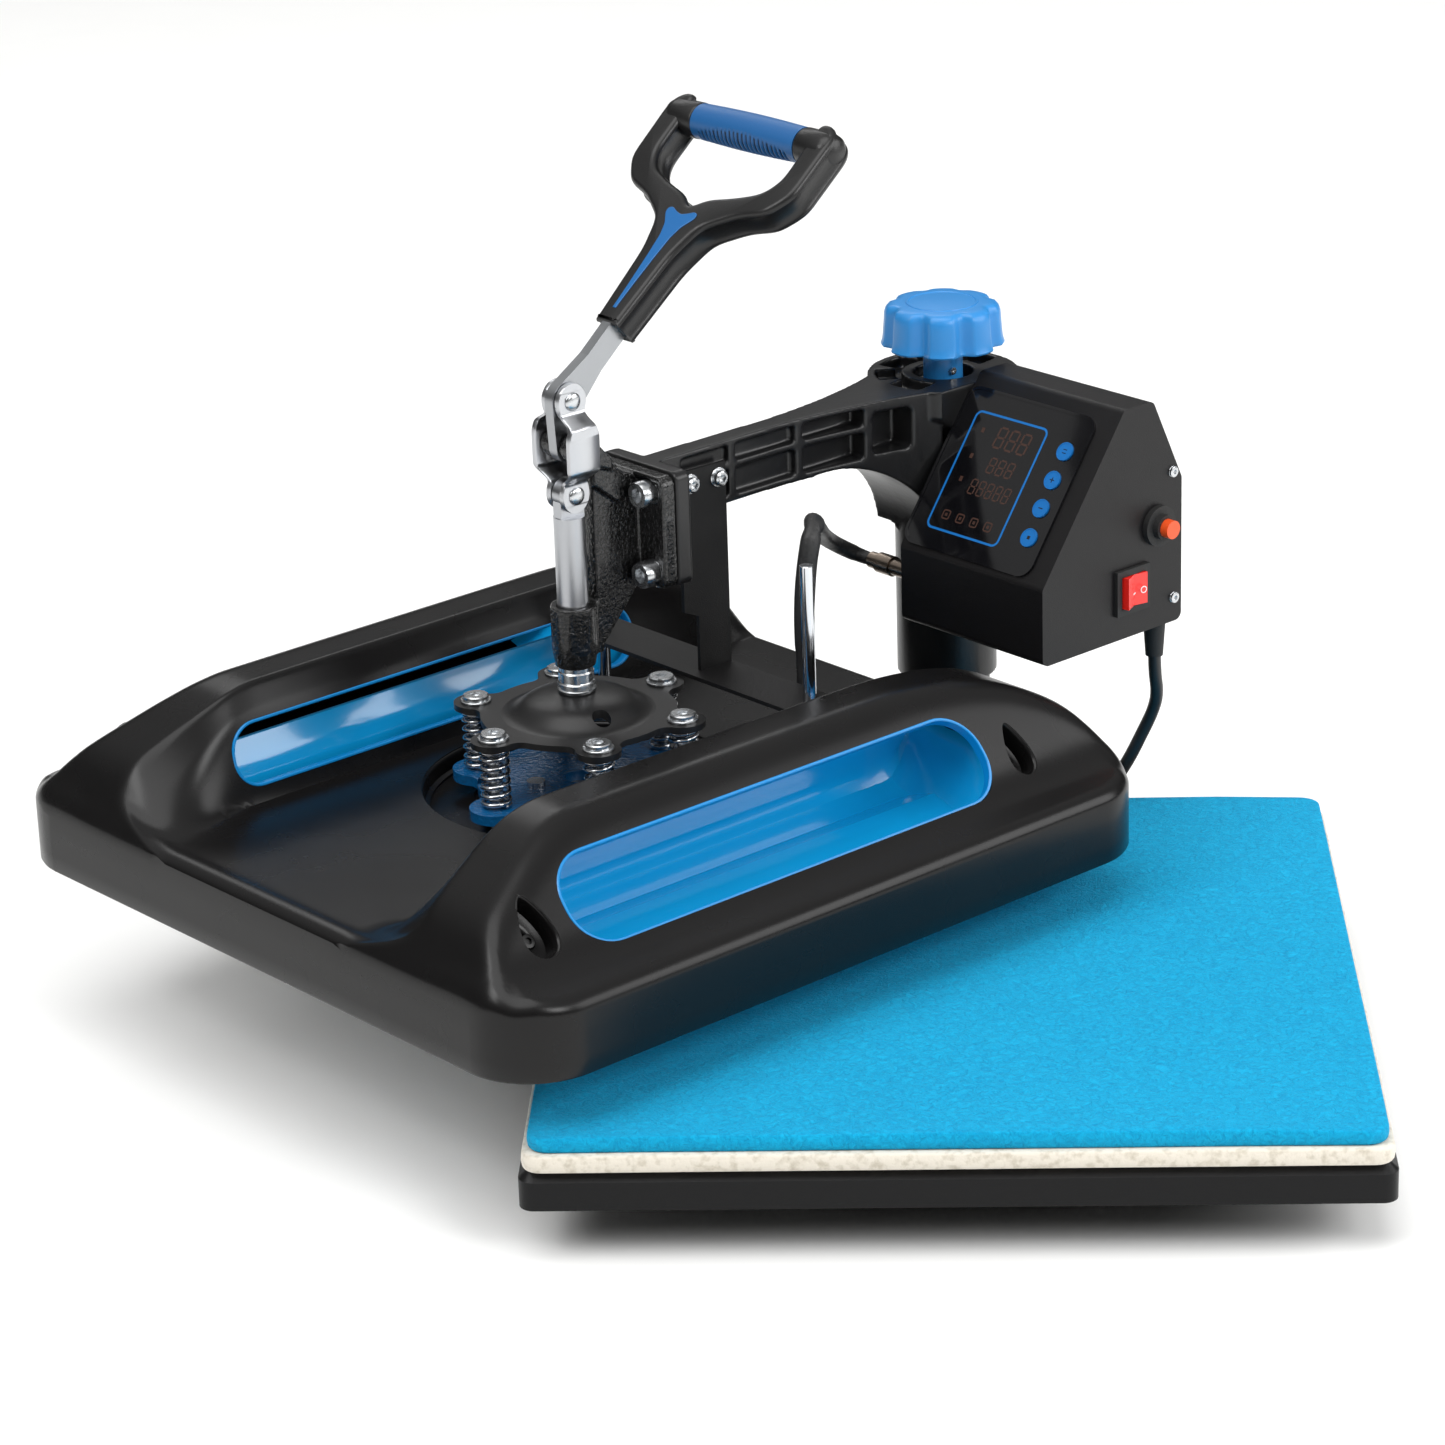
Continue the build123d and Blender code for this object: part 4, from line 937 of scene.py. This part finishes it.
def domed_head(radius, height):
    """A rivet's snap head standing at z 0."""
    outline = [(radius, 0), (radius, 0.25)]
    for k in range(1, 8):
        t = pi / 2 * k / 8
        outline.append((radius * cos(t), 0.25 + (height - 0.25) * sin(t)))
    outline.append((0.05, height))
    return lathe(outline, 32)


def build_linkage():
    """The two links and their rivets."""
    links = piece("pressed_links", *join([link_plate(-1), link_plate(1)]), M["link"], smooth=38)
    apply_modifier(links, "BEVEL", width=0.0004, segments=2, limit_method="ANGLE",
                   angle_limit=radians(50))
    dress(links, "zinc", "links", "toggle_links")
    parts = [tube([(-6.3, PLUNGER_Y, LINK_TOP), (0, PLUNGER_Y, LINK_TOP), (6.3, PLUNGER_Y, LINK_TOP)], 3.0, 24)]
    for side in (-1, 1):
        for z in (LINK_TOP, LINK_LOW):
            turn = Matrix.Rotation(radians(90 * side), 4, "Y")
            parts.append(moved(domed_head(4.5, 1.95), Matrix.Translation((side * 6.25, PLUNGER_Y, z)) @ turn))
    rivets = piece("rivet_heads", *join(parts), M["zinc"], smooth=38)
    dress(rivets, "zinc", "links", "link_rivets")


build_linkage()


def rounded_copy(node, name, look, voxel, rounds, slot):
    """A cast part's shape from its CAD solid, with its edges softened as a casting's are."""
    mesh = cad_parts[node].data.copy()
    made = bmesh.new()
    made.from_mesh(mesh)
    bmesh.ops.transform(made, matrix=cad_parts[node].matrix_world, verts=made.verts)
    bmesh.ops.remove_doubles(made, verts=made.verts, dist=0.00001)
    made.to_mesh(mesh)
    made.free()
    obj = add_object(name, mesh)
    mesh.materials.clear()
    mesh.materials.append(look)
    apply_modifier(obj, "REMESH", mode="VOXEL", voxel_size=voxel)
    apply_modifier(obj, "SMOOTH", factor=0.5, iterations=rounds)
    for face in obj.data.polygons:
        face.use_smooth = True
    dress(obj, slot, "arm", node)


rounded_copy("toggle_casting", "toggle_casting_rough", M["wrinkle"], 0.0007, 6, "wrinkle_black")
rounded_copy("arm_casting", "arm_casting_smooth", M["casting"], 0.0009, 4, "arm_black")


# -------- rocker marks
def build_rocker_marks():
    """The plain on and off marks of the rocker's two halves."""
    key = Matrix.Translation((127, 4.4, 175)) @ Matrix.Rotation(radians(97), 4, "Z")
    parts = []
    for side, mark in ((-1, prism([(-1.3, -0.3), (1.3, -0.3), (1.3, 0.3), (-1.3, 0.3)], -0.1, 0.12)),
                       (1, outline_ring((0, 0), 3.6, 3.6, 1.79, 0.45, -0.1, 0.12))):
        along = Vector((0.946, -0.324 * side, 0))
        out = Vector((-0.324 * side, -0.946, 0))
        turn = Matrix((along, Vector((0, 0, 1)), out)).transposed().to_4x4()
        parts.append(moved(mark, key @ Matrix.Translation((side * 3.8, -3.3, 8)) @ turn))
    marks = piece("rocker_marks", *join(parts), M["white"], smooth=30)
    dress(marks, "rocker_red", "rocker")


# -------- grip
HANDLE = Matrix.Translation((0, PLUNGER_Y, LINK_TOP)) @ Matrix.Rotation(radians(40), 4, "X")


def build_grip():
    """The grip: a slightly barrelled sleeve with arched ribs on its lower half, and painted shade in the
    deepest grooves.
    """
    rings, groove_shade_mask = [], []
    for i in range(241):
        x = -35.9 + 71.8 * i / 240
        ring, low = [], []
        for k in range(64):
            t = 2 * pi * k / 64
            radius = 8.6 + 0.75 * cos(pi * x / 76)
            facing = -cos(t - radians(70))
            reach = max(0.0, 1 - (x / 33) ** 2)
            depth = max(0.0, min(1.0, (facing + 0.15 + 0.55 * reach) * 3))
            rib = 0.5 + 0.5 * cos(2 * pi * x / 2.9)
            ribbed = abs(x) < 31 and facing > -0.55 * reach
            if ribbed:
                radius -= 1.0 * depth * (1 - rib) ** 1.5
            low.append(ribbed and depth > 0.35 and rib < 0.42)
            ring.append((x, GRIP_OUT + radius * cos(t), radius * sin(t)))
        rings.append(ring)
        groove_shade_mask.append(low)
    grip = piece("grip_sleeve_moulding", *moved(loft(rings), HANDLE), M["grip"], smooth=50)
    # The deepest groove faces take the darker copy of the blue: painted shade in the grooves.
    grip.data.materials.append(M["grip_shade"])
    for number, face in enumerate(grip.data.polygons):
        if len(face.vertices) == 4 and groove_shade_mask[number // 64][number % 64]:
            face.material_index = 1
    dress(grip, "grip_blue", "handle", "grip_sleeve")


build_grip()


def softened(outline, step, reach, keep):
    """A closed outline resampled evenly, with its corners eased, except where keep says so."""
    dense = resampled(outline, step)
    points = np.array(dense)
    fixed = np.array([keep(x, y) for x, y in dense])
    for _ in range(2):
        total = sum(np.roll(points, k, axis=0) for k in range(-reach, reach + 1)) / (2 * reach + 1)
        points = np.where(fixed[:, None], points, total)
    return points


def inset_rings(points, levels):
    """Rings of a closed anticlockwise outline, each drawn in by an amount at a height."""
    ahead = np.roll(points, -1, axis=0) - np.roll(points, 1, axis=0)
    ahead /= np.hypot(ahead[:, 0], ahead[:, 1])[:, None]
    inward = np.stack([-ahead[:, 1], ahead[:, 0]], axis=1)
    return [[(x, y, z) for x, y in points + inward * inset] for z, inset in levels]


def mirrored(half):
    """A closed outline from its right half, which ends on the middle line."""
    return half + [(-x, y) for x, y in half[-2::-1]]


def build_handle():
    """The moulded frame, a stem that forks to both ends of the grip, and the inlay in its stem."""
    outline = mirrored([(7.8, 41), (10.2, 83), (15.5, 101), (32, 111.5), (48, 116.5), (57.5, 129),
                        (58.2, 164), (52, 171), (43.5, 171), (44, 136), (38, 127), (24, 121.5), (8, 117),
                        (0, 110)])
    points = softened(outline, 1.0, 4, lambda x, y: y < 55)
    levels = [(-9.2, 2.7), (-8.95, 1.8), (-8.3, 0.8), (-7.4, 0.2), (-6.4, 0.0), (-5.7, 0.8), (3.6, 0.8),
              (4.3, 0.0), (5.4, 0.2), (6.4, 0.8), (7.05, 1.8), (7.3, 2.7)]
    shapes = [loft(inset_rings(points, levels))]
    collar = lathe([(7.6, 35.9), (8.6, 36.3), (8.9, 37.2), (8.9, 45), (8.8, 52), (7.8, 55.5), (5.4, 57.4),
                    (0.1, 57.9)])
    for side in (-1, 1):
        turn = Matrix.Diagonal((side, 1, 1, 1)) @ Matrix.Translation((0, GRIP_OUT, 0)) @ ASIDE
        shapes.append(moved(collar, turn))
    moulding = piece("handle_moulding", *moved(join(shapes), HANDLE), M["handle"], smooth=50)
    dress(moulding, "handle_black", "handle", "handle_frame")
    outline = mirrored([(1.0, 49), (1.5, 62), (2.6, 80), (3.7, 92), (5.8, 98.5), (10.2, 104.4), (10.2, 107.2),
                        (7.6, 108), (4, 106.2), (0, 105)])
    rings = inset_rings(softened(outline, 0.5, 2, lambda x, y: y < 50), [(6.9, 0), (7.55, 0), (7.75, 0.3)])
    inlay = piece("handle_inlay_strip", *moved(loft(rings), HANDLE), M["inlay"], smooth=30)
    dress(inlay, "inlay_blue", "handle", "handle_inlay")


build_handle()


# -------- display
TILT = atan2(57, 77.5)
PANEL_AXES = Matrix(((1, 0, 0), (0, sin(TILT), -cos(TILT)), (0, cos(TILT), sin(TILT))))
PANEL = Matrix.Translation((0, -57, 198)) @ PANEL_AXES.to_4x4()


def outline_ring(centre, width, depth, corner, line, low, high):
    """A thin raised line round a rectangle."""
    outer = [(x + centre[0], y + centre[1]) for x, y in rounded_rect(width, depth, corner)]
    inner = [(x + centre[0], y + centre[1])
             for x, y in rounded_rect(width - 2 * line, depth - 2 * line, max(0.5, corner - line))]
    return stacked([(outer, low), (outer, high), (inner, high), (inner, low), (outer, low)], cap=False)


def bar(x0, x1, y0, y1, low, high):
    """A small block on the panel."""
    return prism([(x0, y0), (x1, y0), (x1, y1), (x0, y1)], low, high)


def digit(x, y, width, height, line):
    """A seven-segment figure with every segment present."""
    gap = line * 0.35
    slant = 0.08
    parts = []
    for level in (0, 0.5, 1):
        yy = y + level * (height - line)
        shift = (yy - y) * slant
        parts.append(bar(x + line + shift, x + width - line + shift, yy, yy + line, 1.24, 1.3))
    for column in (0, 1):
        for row in (0, 1):
            x0 = x + column * (width - line)
            y0 = y + line * 0.5 + row * (height - line) / 2 + gap
            y1 = y0 + (height - line) / 2 - 2 * gap
            low_shift, high_shift = (y0 - y) * slant, (y1 - y) * slant
            parts.append(prism([(x0 + low_shift, y0), (x0 + line + low_shift, y0),
                                (x0 + line + high_shift, y1), (x0 + high_shift, y1)], 1.24, 1.3))
    return join(parts)


def build_display():
    """The frame line, the unlit figures and the plain icons of the display."""
    line = outline_ring((62.3, 44.8), 49.5, 64, 4, 1.15, 1.2, 1.32)
    frame_line = piece("display_line", *moved(line, PANEL), M["line"], smooth=30)
    parts = []
    for count, x, pitch, y, width, height, stroke in ((3, 56.0, 8.0, 60.0, 6.2, 11.6, 1.05),
                                                      (3, 59.0, 6.2, 47.0, 4.8, 8.6, 0.85),
                                                      (5, 53.5, 5.7, 34.5, 4.4, 8.4, 0.8)):
        parts += [digit(x + k * pitch, y, width, height, stroke) for k in range(count)]
    for k in range(4):
        parts.append(outline_ring((47.5 + k * 9.6, 21.5), 5.2, 5.2, 1.4, 0.8, 1.24, 1.3))
        parts.append(bar(46.7 + k * 9.6, 48.3 + k * 9.6, 20.7, 22.3, 1.24, 1.3))
    for y in (66, 52, 39.5):
        parts.append(bar(45.5, 47.5, y, y + 2.6, 1.24, 1.3))
    figures = piece("display_figures", *moved(join(parts), PANEL), M["digit"], smooth=30)
    bezel = outline_ring((70, 45.5), 87.6, 85.6, 8, 1.6, 0.0, 1.55)
    frame_edge = piece("display_bezel", *moved(bezel, PANEL), M["glass"], smooth=30)
    dress(frame_line, "inlay_blue", "arm")
    dress(figures, "panel_black", "arm")
    dress(frame_edge, "panel_black", "arm")
    places = ((102.3, 68.2), (102.6, 52.9), (103.4, 38.0), (104.2, 22.5))
    marks = ([(-1.2, 1.2, 0.7, 1.1), (-1.2, 1.2, -1.1, -0.7)],
             [(-0.25, 0.25, -1.4, 1.4), (-1.4, 1.4, -0.25, 0.25)],
             [(-1.4, 1.4, -0.25, 0.25)], [(-0.9, 0.9, -0.9, 0.9)])
    for number, ((x, y), bars) in enumerate(zip(places, marks), start=1):
        ring = outline_ring((x, y), 9.5, 9.5, 4.7, 0.5, 1.9, 2.2)
        edge = piece(f"button_{number}_edge", *moved(ring, PANEL), M["button"], smooth=30)
        shapes = [bar(x + a, x + b, y + c, y + d, 1.98, 2.04) for a, b, c, d in bars]
        mark = piece(f"button_{number}_mark", *moved(join(shapes), PANEL), M["glass"], smooth=30)
        dress(edge, "button_blue", f"button_{number}")
        dress(mark, "panel_black", f"button_{number}")


build_display()
build_rocker_marks()


# -------- looks of the CAD nodes
LOOKS = {
    "plate": ["base_frame", "base_plate"],
    "rubber": ["rubber_feet", "mains_plug", "relay", "rocker_bezel", "breaker_body", "cord_gland"],
    "powder": ["post", "guide_bracket", "guide_crossbar"],
    "zinc": ["post_bolts", "thrust_washer", "pivot_pin", "pressure_screw", "keyhole_screws"],
    "box": ["control_box", "side_plate"],
    "button": ["button_1", "button_2", "button_3", "button_4"],
    "bush": ["sleeve_bush"], "glass": ["display_panel"], "board": ["circuit_board"], "red": ["rocker_key"],
    "socket": ["heater_socket"], "lever": ["lever_bar"], "plunger": ["plunger_shaft"],
    "spider_black": ["upper_spider"], "spider": ["lower_spider"], "alloy": ["heating_plate"],
    "fibre": ["insulation"], "azure": ["platen_liner"], "chrome": ["guide_rods"], "orange": ["breaker_button"],
}
for look, names in LOOKS.items():
    for node in names:
        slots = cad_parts[node].data.materials
        slots.clear()
        slots.append(M[look])


# -------- studio
def add_area(name, place, aim, size, power):
    """A soft rectangular light aimed at a point."""
    data = bpy.data.lights.new(name, "AREA")
    data.shape = "RECTANGLE"
    data.size, data.size_y = size
    data.energy = power
    light = add_object(name, data)
    light.location = place
    light.rotation_euler = (Vector(aim) - Vector(place)).to_track_quat("-Z", "Y").to_euler()


def add_studio():
    """A pale floor, a surround that is bright overhead, a broad sun and four soft lights."""
    mesh = bpy.data.meshes.new("floor")
    mesh.from_pydata([(x, y, -0.0005) for x, y in ((-30, -30), (30, -30), (30, 30), (-30, 30))], [],
                     [(0, 1, 2, 3)])
    mesh.materials.append(material("floor_paint", (0.93, 0.93, 0.92), 0.9, vary=0.01))
    add_object("floor", mesh)
    world = bpy.data.worlds.new("surround")
    bpy.context.scene.world = world
    world.use_nodes = True
    tree = world.node_tree
    parts = add_node(tree, "SeparateXYZ", Vector=add_node(tree, "TexCoord").outputs["Generated"])
    height = add_node(tree, "MapRange", Value=parts.outputs["Z"], From_Min=0.3, From_Max=0.95, To_Min=0.07,
                      To_Max=0.75)
    feed(tree.nodes["Background"], Color=(1, 1, 0.995, 1), Strength=height.outputs["Result"])
    sun = bpy.data.lights.new("high_sun", "SUN")
    sun.energy = 1.55
    sun.angle = radians(50)
    add_object("high_sun", sun).rotation_euler = (radians(14), radians(-10), 0)
    add_area("key_light", (-1.5, -1.3, 1.7), (-0.1, -0.2, 0.15), (0.9, 0.9), 16)
    add_area("window_light", (1.35, -1.75, 1.5), (0.05, -0.2, 0.14), (0.8, 0.8), 22)
    add_area("side_light", (1.9, -0.35, 1.0), (0.1, -0.1, 0.2), (1.3, 1.1), 19)
    add_area("back_light", (-0.5, 1.7, 1.5), (-0.1, -0.1, 0.2), (1.4, 0.4), 4.5)


add_studio()
bpy.context.scene.view_settings.view_transform = "Standard"
